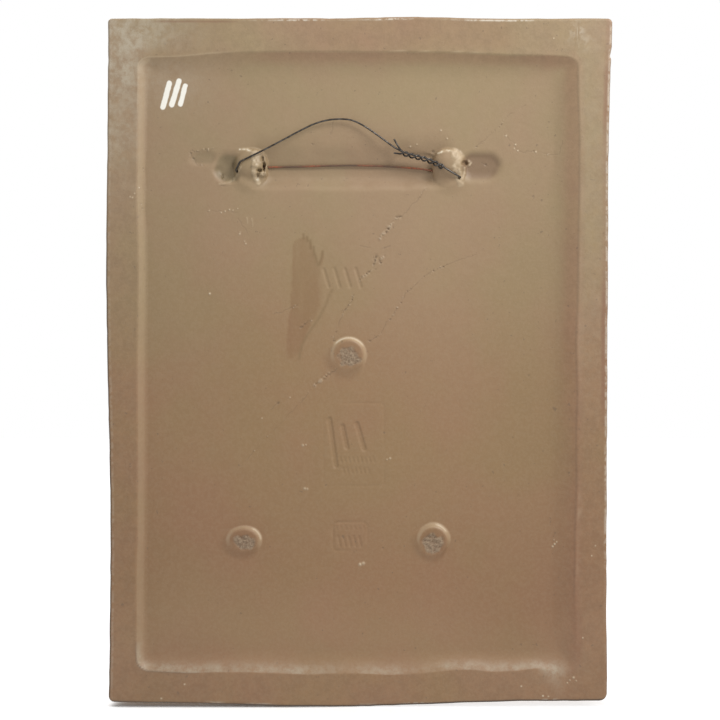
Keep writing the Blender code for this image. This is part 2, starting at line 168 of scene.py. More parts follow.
# Hair cracks and lines of drying crumbs on the sunk panel: share of crumbs, then points in mm.
CRACKS = (
    (0.25, ((-82, 7), (-75.5, 3), (-70, -3), (-64.5, -8.5), (-59.5, -12.5))),
    (0.45, ((-36.8, -31.7), (-34.9, -34), (-30.3, -39.1), (-27.6, -42.3), (-25.3, -44.1))),
    (0.95, ((-25.3, -44.1), (-23.4, -44.6), (-21.6, -46.9), (-19.8, -49.6), (-17.9, -51.5), (-16.1, -54))),
    (0.9, ((-17.9, -58.4), (-20.7, -57.5))),
    (0.2, ((-6.9, -57), (-11.5, -58.6), (-14.7, -59.3), (-17.9, -58.4))),
    (1.0, ((-17.6, -62), (-16, -63.6), (-16.6, -66), (-15, -68))),
    (1.0, ((-13.6, -62.4), (-13.8, -65), (-12.2, -67.6), (-14.2, -68.4))),
    (0.7, ((-12, -69), (-8, -71.5), (-6.6, -73.6))),
    (0.55, ((-3.5, -80), (-3, -82.5), (-1, -85.5), (1.5, -89))),
    (0.45, ((1.5, -89), (4, -95), (5, -101))),
    (0.15, ((-60, -61.5), (-54, -63.8), (-47.4, -66.2))),
    (0.5, ((-47.4, -66.2), (-41.4, -68.5), (-36.8, -71.3), (-33.6, -73.6), (-30.8, -76.8), (-28.1, -79.1))),
    (0.4, ((-28.1, -79.1), (-25, -84), (-23.5, -87.8), (-19.3, -92.5), (-16.1, -98.5), (-11, -101))),
    (0.8, ((4, -114), (8, -117), (11.5, -119.5), (14, -121.5))),
    (0.45, ((15, -122.5), (20, -129), (22.5, -131))),
    (0.2, ((22.5, -131), (32, -141.5), (40.5, -150), (46, -156.5))),
    (0.35, ((32.5, -89), (28, -87), (22, -85))),
    (0.6, ((21, -95), (17.5, -92.5), (15.5, -91.5))),
    (0.15, ((34.5, -132.6), (30.5, -129.8))),
    (0.05, ((-73, -6.5), (-74, -8), (-77.5, -11), (-79.5, -14.5), (-87, -14.5))),
    (0.1, ((-87, -14.5), (-96, -16), (-98, -15.5), (-98.5, -13), (-99.5, -9.5))),
    (0.1, ((63.5, -41.5), (49.5, -42))),
    (0.15, ((49.5, -44.5), (46, -50), (42.5, -57))),
    (0.3, ((6.5, -6), (5.5, -0.5))),
    (0.5, ((60.6, -13.4), (66.6, -13.9), (71.2, -14.3), (70.3, -17.1), (68, -20.3), (64.3, -20.7))),
    (0.4, ((57.5, -25), (56.5, -26.5))),
    (0.1, ((57.0, -29.6), (54.0, -30.2), (51.0, -29.8))),
    (0.3, ((-62.5, -19.4), (-65.2, -21))),
)

# Crumbs on their own, in mm: x, z, radius, and height, below 0 for a pit.
SPECKS = (
    (18.7, -169.4, 0.7, 0.4), (17.6, -169.5, 0.6, 0.35), (-6.8, -204.5, 0.8, 0.5), (-8.3, -204, 0.8, 0.5),
    (19.6, -149.3, 0.6, 0.5), (18.2, -149.1, 0.4, 0.4), (25.5, -127.2, 0.4, 0.4), (38.4, -136.8, 0.4, 0.3),
    (-20.6, -155.4, 0.5, 0.5), (-19.2, -155.9, 0.4, 0.4), (-29.8, -12, 0.4, 0.5), (-32.8, -11, 0.35, 0.4),
    (-43.8, -4.7, 0.4, 0.5), (-46.6, -8.4, 0.4, 0.5), (74.2, -259.6, 0.45, 0.6), (84.9, -266.2, 0.5, 0.6),
    (-81.2, -260.5, 0.4, 0.6), (-91.2, -265, 0.45, 0.6), (-93.7, -265.3, 0.4, 0.6),
    (-105.3, -256.5, 0.6, 0.5), (-106.5, -258, 0.4, 0.4), (-103.6, -257.8, 0.45, 0.4),
    (-102.4, -259, 0.4, 0.4), (-95, 37, 0.4, 0.4), (-109.5, -238, 0.35, 0.5), (31, -129.8, 0.8, -0.4),
    (-17.3, -197, 0.5, -0.4), (62.4, -41.3, 0.35, 0.4), (57, -42.2, 0.4, 0.5), (55.2, -41.6, 0.35, 0.5),
    (53.2, -40.9, 0.4, 0.6), (51.6, -41.2, 0.35, 0.5), (49.4, -40.4, 0.3, 0.4), (-73.6, -7.2, 0.45, 0.6),
    (-77.9, -11.2, 0.45, 0.6), (-77.4, -12.9, 0.35, 0.4), (-79, -13.9, 0.4, 0.5), (-87.2, -14.5, 0.45, 0.5),
    (-86.2, -14.1, 0.35, -0.4), (15.2, -10.9, 0.4, -0.4), (-40.2, -14.4, 0.8, -0.5),
    (-64.4, -20.2, 0.5, -0.4), (1.8, -101.4, 0.6, -0.5), (-95.6, -196, 0.5, 0.6), (-96.5, -194.9, 0.5, 0.6),
    (-97.4, -193.9, 0.4, 0.5), (-96.2, -193, 0.35, 0.4), (-115.1, -195.3, 0.35, 0.5),
    (-113.4, -199.9, 0.35, 0.5), (62.3, -79.4, 0.5, 0.6), (46.3, -55.4, 0.3, 0.4), (94.2, -30.9, 0.45, 0.5),
    (97.3, -35.3, 0.45, 0.5), (98.3, -35, 0.4, 0.4), (96.3, -33.5, 0.4, 0.4), (92.5, -22.1, 0.45, -0.4),
    (93, -40.4, 0.45, -0.4), (93.6, -38.2, 0.35, -0.4), (48.5, -52, 0.4, 0.5), (48.4, -51.2, 0.3, 0.4),
    (45.7, -56.5, 0.4, 0.4),
)

CRACK_DEPTH, CRUMB_HEIGHT, PAINT_DEPTH = 0.16, 0.34, 0.05

# Strokes pressed into the clay, in mm: both ends, half width, depth.
STROKE_EDGE = 0.3
PRESSED = (
    [((10.0 - 4.9 * i, -68.2 + 0.3 * (i % 2)), (7.6 - 4.9 * i, -76.2), 0.62, 0.3) for i in range(4)]
    + [((7.4, -137.4), (4.4, -158.8), 1.05, 0.44), ((1.4, -140.6), (-0.6, -150.4), 1.05, 0.44),
       ((-5.2, -139.4), (-8.6, -151.0), 1.05, 0.44)]
    + [((2.4 - 1.9 * i, -155.0), (1.8 - 1.9 * i, -157.2), 0.34, 0.2) for i in range(9)]
    + [((1.2 - 1.9 * i, -159.8), (0.6 - 1.9 * i, -162.2), 0.34, 0.2) for i in range(7)]
    + [((4.4 - 2.1 * i, -186.6), (3.8 - 2.1 * i, -188.2), 0.3, 0.18) for i in range(7)]
    + [((3.4 - 2.4 * i, -191.6), (2.4 - 2.4 * i, -196.2), 0.46, 0.26) for i in range(5)]
)
# Frames pressed round them, in mm: middle x, z, half width, half height, corner, half line width, depth.
STAMP_FRAMES = (
    (-3.8, -149.0, 13.9, 19.1, 1.6, 0.5, 0.15), (-2.2, -191.6, 7.9, 6.6, 2.4, 0.6, 0.34),
)

# White dabs of paint, in mm: both ends and half width.
DABS = (((83.4, 6.0), (80.4, 16.8), 1.2), ((79.4, 7.0), (76.0, 17.8), 1.2), ((75.4, 7.2), (73.2, 15.6), 1.1))

# A darker patch left by a wet brush, in mm: its outline, its bristle marks, and the run beside it.
STAIN = (
    (23.8, -55.2), (24.7, -66.2), (24.9, -77.7), (25.8, -86.9), (27.2, -100.8), (27.9, -106.3),
    (26.8, -109.6), (23.4, -109.8), (21.3, -106.3), (19.4, -101.7), (17.6, -97.5), (14.8, -92.5),
    (12.4, -88.8), (10.4, -84.6), (10.6, -79), (11.2, -74), (10.9, -68.5), (9.9, -63.5), (9.8, -60.5),
    (10.8, -59.8), (11.5, -63), (12.6, -66.2), (13.8, -62), (15, -57.8), (16.1, -55.4), (17.6, -53.6),
    (19.2, -53), (20.8, -53.9),
)
BRISTLES = (
    ((19.2, -52.2), (19.1, -54)), ((17.6, -53.4), (17.3, -55.2)), ((16.1, -55), (15.9, -58.6)),
    ((14.6, -58), (14.2, -61.6)), ((14, -61), (12.6, -66.2)), ((10.4, -60), (10.8, -62.8), (12.2, -66.2)),
)
STREAK = (
    (5.9, -77.6), (7.6, -80.5), (8.8, -84.3), (12.2, -90.8), (14.9, -94.7), (18, -99.3), (19.6, -102.3),
    (20.6, -105.6), (21.4, -109.4),
)


def steps(low, high, value):
    """0 up to low, 1 from high, smooth between them."""
    t = np.clip((value - low) / (high - low), 0.0, 1.0)
    return t * t * (3.0 - 2.0 * t)


def noise(x, z, size, seed):
    """Smooth noise between -1 and 1 whose lumps are about size across."""
    table = np.random.default_rng(seed).uniform(-1.0, 1.0, (64, 64))
    u, v = x / size + 0.37 * seed, z / size
    i, j = np.floor(u).astype(int), np.floor(v).astype(int)
    s, t = (part * part * (3.0 - 2.0 * part) for part in (u - i, v - j))
    low = table[i % 64, j % 64] * (1 - s) + table[(i + 1) % 64, j % 64] * s
    high = table[i % 64, (j + 1) % 64] * (1 - s) + table[(i + 1) % 64, (j + 1) % 64] * s
    return low * (1 - t) + high * t


def rough(x, z, size, seed):
    """Noise with two finer layers."""
    return sum(noise(x, z, size / 2 ** k, seed + k) * 0.5 ** k for k in range(3)) / 1.75


def near(x, z, points, reach):
    """Distance to the line through points (mm), no more than reach."""
    out = np.full(x.shape, float(reach))
    for (ax, az), (bx, bz) in zip(points, points[1:]):
        some = (
            (x > min(ax, bx) - reach) & (x < max(ax, bx) + reach)
            & (z > min(az, bz) - reach) & (z < max(az, bz) + reach)
        )
        px, pz, dx, dz = x[some] - ax, z[some] - az, bx - ax, bz - az
        t = np.clip((px * dx + pz * dz) / (dx * dx + dz * dz), 0.0, 1.0)
        out[some] = np.minimum(out[some], np.hypot(px - t * dx, pz - t * dz))
    return out


def beyond(x, z, box):
    """How far each place lies beyond a box's sides along X and along Z, negative inside it."""
    left, right, top, bottom = box
    return (np.abs(x - (left + right) / 2) - (left - right) / 2,
            np.abs(z - (top + bottom) / 2) - (top - bottom) / 2)


def inside(x, z, box, corner):
    """How far each place lies inside a rounded rectangle, negative outside it."""
    px, pz = (value + corner for value in beyond(x, z, box))
    return corner - np.hypot(np.maximum(px, 0), np.maximum(pz, 0)) - np.minimum(np.maximum(px, pz), 0)


def within(x, z, points):
    """True inside the closed outline through points (mm)."""
    hit = np.zeros(x.shape, bool)
    for (ax, az), (bx, bz) in zip(points, points[1:] + points[:1]):
        if az != bz:
            crossing = ax + (z - az) * (bx - ax) / (bz - az)
            hit ^= ((z > az) != (z > bz)) & (x < crossing)
    return hit


def grid_lines(low, high, mouth_low, mouth_high, lip_steps, cells):
    """Places of the grid's lines along one axis, close together at the edges and on the slopes."""
    def side(edge, mouth, way):
        border = edge + way * np.array(EDGE_STEPS)
        slope = mouth + way * np.array(lip_steps)
        return np.concatenate((border, np.linspace(border[-1], slope[0], RIM_CELLS + 1)[1:-1], slope))
    start, end = side(low, mouth_low, 1.0), side(high, mouth_high, -1.0)[::-1]
    return np.concatenate((start, np.linspace(start[-1], end[0], cells + 1)[1:-1], end))


def blocks(array, size, how):
    """One value for each block of size by size entries."""
    nx, nz = array.shape
    return how(array.reshape(nx // size, size, nz // size, size), axis=(1, 3))


def shifted(array, dx, dz):
    """array moved by one entry, with False beyond its ends."""
    out = np.zeros_like(array)
    nx, nz = array.shape
    out[max(dx, 0):nx + min(dx, 0), max(dz, 0):nz + min(dz, 0)] = (
        array[max(-dx, 0):nx - max(dx, 0), max(-dz, 0):nz - max(dz, 0)]
    )
    return out


def split_grid(lines_x, lines_z, size_at):
    """Corners, in base cells, and faces of a grid whose cells are split to the sizes that size_at wants."""
    def centres(lines, level):
        count = len(lines) - 1
        return np.interp((np.arange(count << level) + 0.5) / (1 << level), np.arange(count + 1), lines)

    top = LEVELS - 1
    wanted = size_at(*np.meshgrid(centres(lines_x, top), centres(lines_z, top), indexing="ij"))
    split = [blocks(wanted, 1 << (top - level), np.min) < 0.75 * CELL / 2 ** level for level in range(LEVELS)]
    around = [(dx, dz) for dx in (-1, 0, 1) for dz in (-1, 0, 1)]
    for level in reversed(range(top)):
        grown = np.any([shifted(split[level + 1], dx, dz) for dx, dz in around], axis=0)
        split[level] |= blocks(grown, 2, np.max)
    exists = [np.ones_like(split[0])]
    for level in range(LEVELS):
        split[level] &= exists[level]
        exists.append(np.repeat(np.repeat(split[level], 2, axis=0), 2, axis=1))
    split.append(np.zeros_like(exists[-1]))
    unit = 1 << (LEVELS + 1)
    wide = (len(lines_z) - 1) * unit + 1
    corners, sides = ((0, 0), (1, 0), (1, 1), (0, 1)), ((0, 1), (-1, 0), (0, -1), (1, 0))
    quads, triangles = [], []
    for level in range(LEVELS + 1):
        leaf = exists[level] & ~split[level]
        finer = [shifted(split[level], *side) for side in sides]
        plain = leaf & ~np.any(finer, axis=0)
        size = unit >> level

        def faces(cells, *places):
            """One face for each cell that is True, with its corners at places in it."""
            i, j = np.nonzero(cells)
            return np.stack([(i * size + round(u * size)) * wide + j * size + round(v * size)
                             for u, v in places], axis=1)

        quads.append(faces(plain, *corners))
        for number, beside in enumerate(finer):
            start, end = corners[number], corners[(number + 1) % 4]
            middle = (start[0] + end[0]) / 2, (start[1] + end[1]) / 2
            for halved, run in ((False, (start, end)), (True, (start, middle, end))):
                cells = leaf & ~plain & (beside == halved)
                triangles += [faces(cells, a, b, (0.5, 0.5)) for a, b in zip(run, run[1:])]
    quads, triangles = np.concatenate(quads), np.concatenate(triangles)
    used, index = np.unique(np.concatenate((quads.ravel(), triangles.ravel())), return_inverse=True)
    places = np.stack((used // wide, used % wide), axis=1) / unit
    return places, index[:quads.size].reshape(-1, 4), index[quads.size:].reshape(-1, 3)


def edge_shifts(x, z):
    """How far the left, right, top and bottom edges lie outside the slab's plain box."""
    def bump(value, centre, reach):
        return np.exp(-((value - centre) / reach) ** 2)

    def uneven(along, seed):
        level = along * 0
        return 0.16 * rough(along, level, 16, seed) + 0.1 * noise(along, level, 4.5, seed + 4)

    return (
        SWAY * np.cos(math.tau * (z - SWAY_Z) / SWAY_LENGTH) - uneven(z, 11),
        TOP_FLARE * bump(z, TOP_Z, FLARE_REACH) + LOW_FLARE * bump(z, BOTTOM_Z, FLARE_REACH) - uneven(z, 12)
        - NICK * bump(z, NICK_Z, NICK_REACH),
        LIFT * bump(x, LIFT_X, LIFT_REACH) - uneven(x, 13),
        SAG * bump(x, SAG_X, SAG_REACH) + sum(low * bump(x, at, reach) for low, at, reach in LOW_WAVES)
        - uneven(x, 14),
    )


def edge_distances(x, z):
    """How far inside the slab's left, right, top and bottom edges each place lies."""
    to_left, to_right, to_top, to_bottom = edge_shifts(x, z)
    return LEFT_X + to_left - x, x - RIGHT_X + to_right, TOP_Z + to_top - z, z - BOTTOM_Z + to_bottom


def slab_place(x, z, box, inset):
    """Places of the grid's points on the warped slab with its rounded corners, and how far in they lie."""
    left, right, top, bottom = box
    far = {1: left - x, -1: x - right}, {1: top - z, -1: z - bottom}
    in_from = np.minimum(np.minimum(*far[0].values()), np.minimum(*far[1].values()))
    out_x, out_z = x.copy(), z.copy()
    for (way_x, way_z), radius in CORNERS.items():
        a, b = far[0][way_x], far[1][way_z]
        some = (a < radius) & (b < radius)
        p, q = 1.0 - a[some] / radius, 1.0 - b[some] / radius
        u, v = p * np.sqrt(1 - q * q / 2), q * np.sqrt(1 - p * p / 2)
        out_x[some] += way_x * radius * (u - p)
        out_z[some] += way_z * radius * (v - q)
        in_from[some] = radius * (1 - np.hypot(u, v))

    def ramp(distance):
        return 1.0 - steps(0.0, WARP_DEPTH, distance)

    to_left, to_right, to_top, to_bottom = (shift - inset for shift in edge_shifts(x, z))
    out_x += ramp(far[0][1]) * to_left - ramp(far[0][-1]) * to_right
    out_z += ramp(far[1][1]) * to_top - ramp(far[1][-1]) * to_bottom
    return out_x, out_z, in_from


def arris(in_from, radius):
    """How far a rounded edge has fallen away at a distance from the outline."""
    t = np.clip(1.0 - in_from / radius, 0.0, 1.0)
    return radius * (1.0 - np.sqrt(1.0 - t * t))


def follow_lips(x, z, way):
    """Places moved with the uneven lips of the sunk panel (way 1), or back from them (way -1)."""
    left, right, top, bottom = (
        np.interp(along, *zip(*table)) * np.exp(-((across - line) / LIP_REACH) ** 2)
        for along, across, line, table in zip((z, z, x, x), (x, x, z, z), PANEL_BOX, LIPS)
    )
    return x + way * (right - left), z + way * (bottom - top)


def lip_distance(x, z):
    """How far inside the lip of the sunk panel each place lies."""
    return inside(*follow_lips(x, z, -1), PANEL_BOX, PANEL_CORNER) - 0.18 * rough(x, z, 16, 21)


def panel_share(x, z):
    """0 on the rim, 1 where the slope of the sunk panel ends."""
    depth = lip_distance(x, z)
    px, pz = (np.maximum(value + PANEL_BLEND, 1e-3) ** 3 for value in beyond(x, z, PANEL_BOX))
    along_x, along_z = (
        [np.where(high, SLOPES[first][part], SLOPES[first + 1][part]) for part in (0, 1)]
        for high, first in ((x > 0, 0), (z > -100, 2))
    )
    reach, power = ((along_x[part] * px + along_z[part] * pz) / (px + pz) for part in (0, 1))
    blur = LIP_BLUR + CORNER_BLUR * steps(-88, -100, x) * steps(-242, -252, z)
    run = (depth + np.sqrt(depth * depth + blur ** 2)) / 2
    return 1.0 - (1.0 - np.clip(run / reach, 0.0, 1.0)) ** power


def panel_fall(x, z, share):
    """How far the sunk panel lies below the rim."""
    top = (TOP_HOLD + CORNER_HOLD * steps(45, 90, x)) * np.exp((z - PANEL_BOX[2]) / HOLD_REACH)
    right = RIGHT_HOLD * np.exp((PANEL_BOX[1] - x) / HOLD_REACH)
    left = LEFT_HOLD * np.exp((x - PANEL_BOX[0]) / HOLD_REACH)
    hold = np.minimum((top ** 4 + right ** 4 + left ** 4) ** 0.25, 0.9)
    return (RIM_Y - PANEL_Y) * share * (1.0 - hold)


def hollow_depth(x, z):
    """Depth of the hanging trench and its scoops below the sunk panel."""
    depth = np.zeros(x.shape)
    for cx, cz, straight, end, above, below, deep, *flats in HOLLOWS:
        along = np.maximum(np.abs(x - cx) - straight, 0.0) / end
        across = (z - cz) / np.where(z > cz, above, below)
        out = np.hypot(along, across) + 0.05 * noise(x, z, 6, 31)
        upper, lower = ((1.0 - steps(flat, 1.0, out)) / (1.0 - steps(flat, 1.0, 0.0)) for flat in flats)
        share = lower + (upper - lower) * steps(cz - 1.0, cz + 1.0, z)
        depth = np.maximum(depth, deep * share)
    return depth


def groove(distance, half_width):
    """1 on a line, falling off over half_width (mm)."""
    return np.exp(-(distance / half_width) ** 2)


def farther(one, other):
    """Whichever of two heights is farther from 0."""
    return np.where(np.abs(other) > np.abs(one), other, one)


def crumbs(x, z):
    """Strength of the hair cracks, height of the crumbs by them (below 0 for pits), and the specks."""
    line, crumb, spots = np.zeros(x.shape), np.zeros(x.shape), np.zeros(x.shape)
    lumps = 0.7 * noise(x, z, 1.1, 70) + 0.5 * noise(x, z, 0.6, 71)
    sized = np.sign(lumps) * np.minimum(np.abs(lumps) * 1.6, 1.0)
    bent_x, bent_z = x + 0.5 * noise(x, z, 1.6, 72), z + 0.5 * noise(x, z, 1.6, 73)
    for number, (share, points) in enumerate(CRACKS):
        distance = near(bent_x, bent_z, points, 2.5)
        broken = steps(-0.55, 0.1, noise(x, z, 4, 40 + number))
        line = np.maximum(line, groove(distance, 0.24) * (0.15 + 0.7 * broken) * (0.45 + 0.45 * share))
        here = sized * groove(distance, 0.45 + 0.4 * share)
        here = here * steps(0.55 - 0.75 * share, 0.9 - 0.5 * share, lumps * lumps + share / 4)
        crumb = farther(crumb, here * steps(-0.5, 0.2, noise(x, z, 4.5, 80 + number)))
    for cx, cz, radius, height in SPECKS:
        out = np.hypot(x - cx, z - cz) / (0.8 * radius)
        here = np.exp(-out * out) * height / 0.5
        crumb, spots = farther(crumb, here), np.maximum(spots, here)
    return line, crumb, spots


def bridge_height(x, z, middle):
    """Height of a bridge, flatter on top than the CAD's, and of the clay smeared from its foot."""
    low = steps(-0.1, 1.0, (BRIDGE_Z - z) / BRIDGE_RADII[2])
    u, w = np.abs((x - middle) / BRIDGE_RADII[0]), np.abs((z - BRIDGE_Z) / BRIDGE_RADII[2])
    body = 1.0 - u ** BRIDGE_POWER - w ** BRIDGE_POWER
    apron = BRIDGE_APRON * low * (1.0 - steps(0.75, 1.45, np.hypot(u, w)))
    share = np.cbrt(body) + 0.7 * low * (body - np.cbrt(body))
    return BRIDGE_Y + BRIDGE_RADII[1] * (1.0 - BRIDGE_SLUMP * low) * share, apron


def joined(low, high, blend):
    """The higher of two surfaces, with a fillet about as tall as blend where they meet."""
    near_share = np.maximum(blend - np.abs(low - high), 0.0) / blend
    return np.maximum(low, high) + near_share * near_share * blend / 4


def boss_relief(x, z, place):
    """Height of a boss over the panel, its top, its broken middle, and the painted highlight on its slope."""
    cx, cz, foot, top, squash, rise, arc, (arc_from, arc_to) = place
    dx, dz = x - cx, (z - cz) / squash
    out = np.hypot(dx, dz) * (1.0 + 0.03 * noise(x, z, 6, 51))
    inner = np.hypot(dx, dz - rise) * (1.0 + 0.03 * noise(x, z, 5, 54))
    down = steps(-0.35, 1.0, (0.6 * dx - 0.8 * dz) / foot)
    beyond, before = np.maximum(inner - top, 0.0), np.maximum(foot + BOSS_SMEAR * down - out, 0.0)
    fallen = beyond / np.maximum(beyond + before, 1e-3)
    height = BOSS_HEIGHT * (1.0 - 0.5 * down) * (1.0 - steps(0.0, 1.0, fallen))
    core = 1.0 - steps(0.58 * top, 0.84 * top, np.hypot(dx * 0.9, (dz - rise) * 1.05 + 1.1)
                       + 1.4 * noise(x, z, 2.2, 52))
    turn = np.degrees(np.arctan2(-dx, dz))
    across = np.maximum(inner - top, 0.0) / (foot - top)
    # Painted highlight on the upper side of the slope: a soft lighter band and a bright arc.
    soft = 0.38 * steps(0.1, 0.45, across) * (1.0 - steps(foot - 0.8, foot + 0.4, out))
    soft = soft * steps(-130, -80, turn) * (1.0 - steps(95, 140, turn))
    bright = groove(out - arc, 0.58) * steps(arc_from - 14, arc_from + 6, turn)
    bright = bright * (1.0 - steps(arc_to - 6, arc_to + 14, turn))
    disc = 1.0 - steps(top - 0.6, top + 0.2, inner)
    return height - core * (0.25 - 0.6 * rough(x, z, 0.9, 53)), disc, core, np.maximum(soft, bright)


def torn(x, z, points, half_width):
    """1 on a strip of torn clay, half_width (mm) to each side of the line through points, 0 off it."""
    away = near(x, z, points, 6) / half_width + 0.45 * rough(x, z, 1.4, 8)
    return 1.0 - steps(0.55, 1.25, away)


def stamp_box(cx, cz, half_x, half_z):
    """The left, right, top and bottom of a box round a middle."""
    return cx + half_x, cx - half_x, cz + half_z, cz - half_z


def pressed_depth(x, z):
    """Depth of the strokes and the frames that are pressed into the panel."""
    pressed = np.zeros(x.shape)
    for start, end, half_width, depth in PRESSED:
        distance = near(x, z, (start, end), 4)
        stroke = 1 - steps(half_width - STROKE_EDGE, half_width + STROKE_EDGE, distance)
        pressed = np.maximum(pressed, depth * stroke)
    faint = 0.5 + 0.5 * noise(x, z, 11, 7)
    for *box, corner, half_width, depth in STAMP_FRAMES:
        outline = groove(inside(x, z, stamp_box(*box), corner), half_width)
        pressed = np.maximum(pressed, depth * faint * outline)
    return pressed


def back_height(x, z, in_from):
    """Y of the back, in_from being how far in from the outline each place lies."""
    share = panel_share(x, z)
    y = RIM_Y - arris(in_from, ARRIS) - 0.08 * (1 + noise(x, z, 18, 1))
    y = y - panel_fall(x, z, share)
    y = y + share * (0.22 * noise(x, z, 45, 2) + 0.06 * noise(x, z, 13, 3))
    y = y - hollow_depth(x, z)
    blend = BRIDGE_BLEND + FOOT_BLEND * steps(0.0, 0.8, (BRIDGE_Z - z) / BRIDGE_RADII[2])
    for middle in BRIDGE_X:
        lump, apron = bridge_height(x, z, middle)
        y = joined(y + apron, lump + 0.15 * rough(x, z, 3.5, 4), blend)
    for points, half_width, height, _ in RIDGES:
        y = y + torn(x, z, points, half_width) * height * (0.7 + 0.9 * rough(x, z, 1.1, 5))
    for cx, cz, rx, rz, depth in PITS:
        out = np.hypot((x - cx) / rx, (z - cz) / rz) + 0.2 * noise(x, z, 1.2, 6)
        y = y - depth * (1.0 - steps(0.45, 1.1, out))
    for place in BOSSES:
        y = y + boss_relief(x, z, place)[0]
    line, crumb, _ = crumbs(x, z)
    y = y - CRACK_DEPTH * line + CRUMB_HEIGHT * crumb
    return y - pressed_depth(x, z) + PAINT_DEPTH * paint(x, z)


def paint(x, z):
    """1 on the dabs of paint, 0 off them."""
    share = np.zeros(x.shape)
    for start, end, half_width in DABS:
        distance = near(x, z, (start, end), 4) + 0.18 * rough(x, z, 1.6, 61)
        share = np.maximum(share, 1.0 - steps(half_width - 0.2, half_width + 0.2, distance))
    return share


def stem_place(share):
    """Where the stem is at a share of its length from its foot."""
    x = STEM_X + STEM_BEND * math.sin(math.tau * share) * (1.0 - 0.5 * share)
    return x, STEM_LOW_Z + (STEM_HIGH_Z - STEM_LOW_Z) * share


def leaves():
    """Foot, length and angle of every leaf on the face."""
    made = []
    for pair in range(LEAF_PAIRS):
        share = pair / (LEAF_PAIRS - 1)
        length = LEAF_LENGTHS[0] + (LEAF_LENGTHS[1] - LEAF_LENGTHS[0]) * share
        z = LEAF_FIRST_Z + (LEAF_LAST_Z - LEAF_FIRST_Z) * share
        rise = LEAF_RISE + LEAF_RISE_GAIN * share
        foot = stem_place((z - STEM_LOW_Z) / (STEM_HIGH_Z - STEM_LOW_Z))
        for side in (1.0, -1.0):
            start = (foot[0] + side * LEAF_GAP, foot[1] - side * LEAF_GAP)
            made.append((start, length, rise if side > 0 else math.pi - rise))
    made.append((stem_place(0.97), LAST_LEAF_LENGTH, math.pi / 2))
    return made


def leaf_relief(x, z):
    """Height of the leaves and the stem over the ground of the face."""
    height = np.zeros(x.shape)
    for (foot_x, foot_z), length, angle in leaves():
        dx, dz = x - foot_x, z - foot_z
        along = dx * math.cos(angle) + dz * math.sin(angle)
        across = np.abs(dz * math.cos(angle) - dx * math.sin(angle))
        t = np.clip(along / length * 2 - 1, -0.9999, 0.9999)
        half = (1 - t * t) ** 0.8 * (1 - 0.25 * t) * length * LEAF_SLENDER / 2
        out = across / half
        some = (out < 1) & (np.abs(t) < 0.999)
        edge = steps(-0.1, 1.3, (half - across) * (1 - t * t) ** 0.3)
        dome = np.where(some, edge * (0.55 + 0.45 * (1 - np.minimum(out, 1) ** 2)) * (1 - t * t) ** 0.25, 0.0)
        rib = groove(across, 0.8) * (1 - steps(0.75, 1.0, t))
        vein = np.abs((along - 0.8 * across) * VEINS / length % 1.0 - 0.5) * 2
        vein = (1 - steps(0.0, 0.45, vein)) * steps(0.8, 2.2, across) * (1 - steps(0.7, 0.95, out))
        cut = 1 - VEIN_CUT * vein - RIB_CUT * rib
        height = np.maximum(height, LEAF_HEIGHT * dome * cut)
    line = [stem_place(i / STEM_STEPS) for i in range(STEM_STEPS + 1)]
    share = np.clip((z - STEM_LOW_Z) / (STEM_HIGH_Z - STEM_LOW_Z), 0, 1)
    radius = STEM_RADII[0] + (STEM_RADII[1] - STEM_RADII[0]) * share
    out = near(x, z, line, 8) / radius
    bark = 1 - 0.06 * np.abs(noise(x, z * 0.2, 1.6, 81))
    return np.maximum(height, radius * np.sqrt(np.maximum(1 - out * out, 0)) * bark)


def face_height(x, z, in_from):
    """Y of the face, in_from being how far in from the outline each place lies."""
    fall = inside(x, z, FIELD_BOX, FIELD_CORNER) - 0.12 * rough(x, z, 18, 91)
    run = np.clip((fall + np.sqrt(fall * fall + FIELD_BLUR ** 2)) / 2 / FIELD_REACH, 0.0, 1.0)
    share = 1.0 - (1.0 - run) ** FIELD_POWER
    y = FRAME_Y + arris(in_from, FACE_ARRIS) + 0.06 * (1 + noise(x, z, 20, 92))
    y = y + share * (FIELD_Y - FRAME_Y)
    ground = 0.16 * rough(x, z, 9, 93) + 0.1 * noise(x, z * 0.35, 3.5, 94)
    relief = leaf_relief(x, z)
    return y - relief + share * ground * (1 - steps(0.0, 1, relief))


def back_size(x, z):
    """Wanted size of a cell at each place of the back."""
    size = np.full(x.shape, np.inf)

    def finer(where, value):
        size[where] = np.minimum(size[where], value)

    finer(inside(x, z, HANGING_BOX, HANGING_CORNER) > 0, MEDIUM)
    for middle in BRIDGE_X:
        finer(np.hypot(x - middle, (z - BRIDGE_Z) * 0.9) < 11.2, FINE)
    for points, half_width, *_ in RIDGES:
        finer(near(x, z, points, 6) < half_width + 0.5, FINE)
    for cx, cz, foot, *_ in BOSSES:
        finer(np.hypot(x - cx, z - cz) < foot + 1, FINE)
    for share, points in CRACKS:
        distance = near(x, z, points, 3)
        finer(distance < 0.8 + 0.6 * share, FINE)
        finer(distance < 0.45, FINEST)
    for cx, cz, radius, _ in SPECKS:
        finer(np.hypot(x - cx, z - cz) < radius * 1.6, FINEST)
    for start, end, half_width, _ in PRESSED:
        finer(near(x, z, (start, end), 6) < half_width + 0.7, FINE)
    for *box, corner, _, _ in STAMP_FRAMES:
        finer(np.abs(inside(x, z, stamp_box(*box), corner)) < 0.8, FINE)
    for start, end, half_width in DABS:
        finer(np.abs(near(x, z, (start, end), 6) - half_width) < 0.5, FINEST)
    for points in BRISTLES:
        finer(near(x, z, points, 4) < 1, FINE)
    finer(near(x, z, STAIN + STAIN[:1], 4) < 1.8, MEDIUM)
    return size


def face_size(x, z):
    """Wanted size of a cell at each place of the face."""
    return np.where(leaf_relief(x, z) > 0, MEDIUM, np.inf)


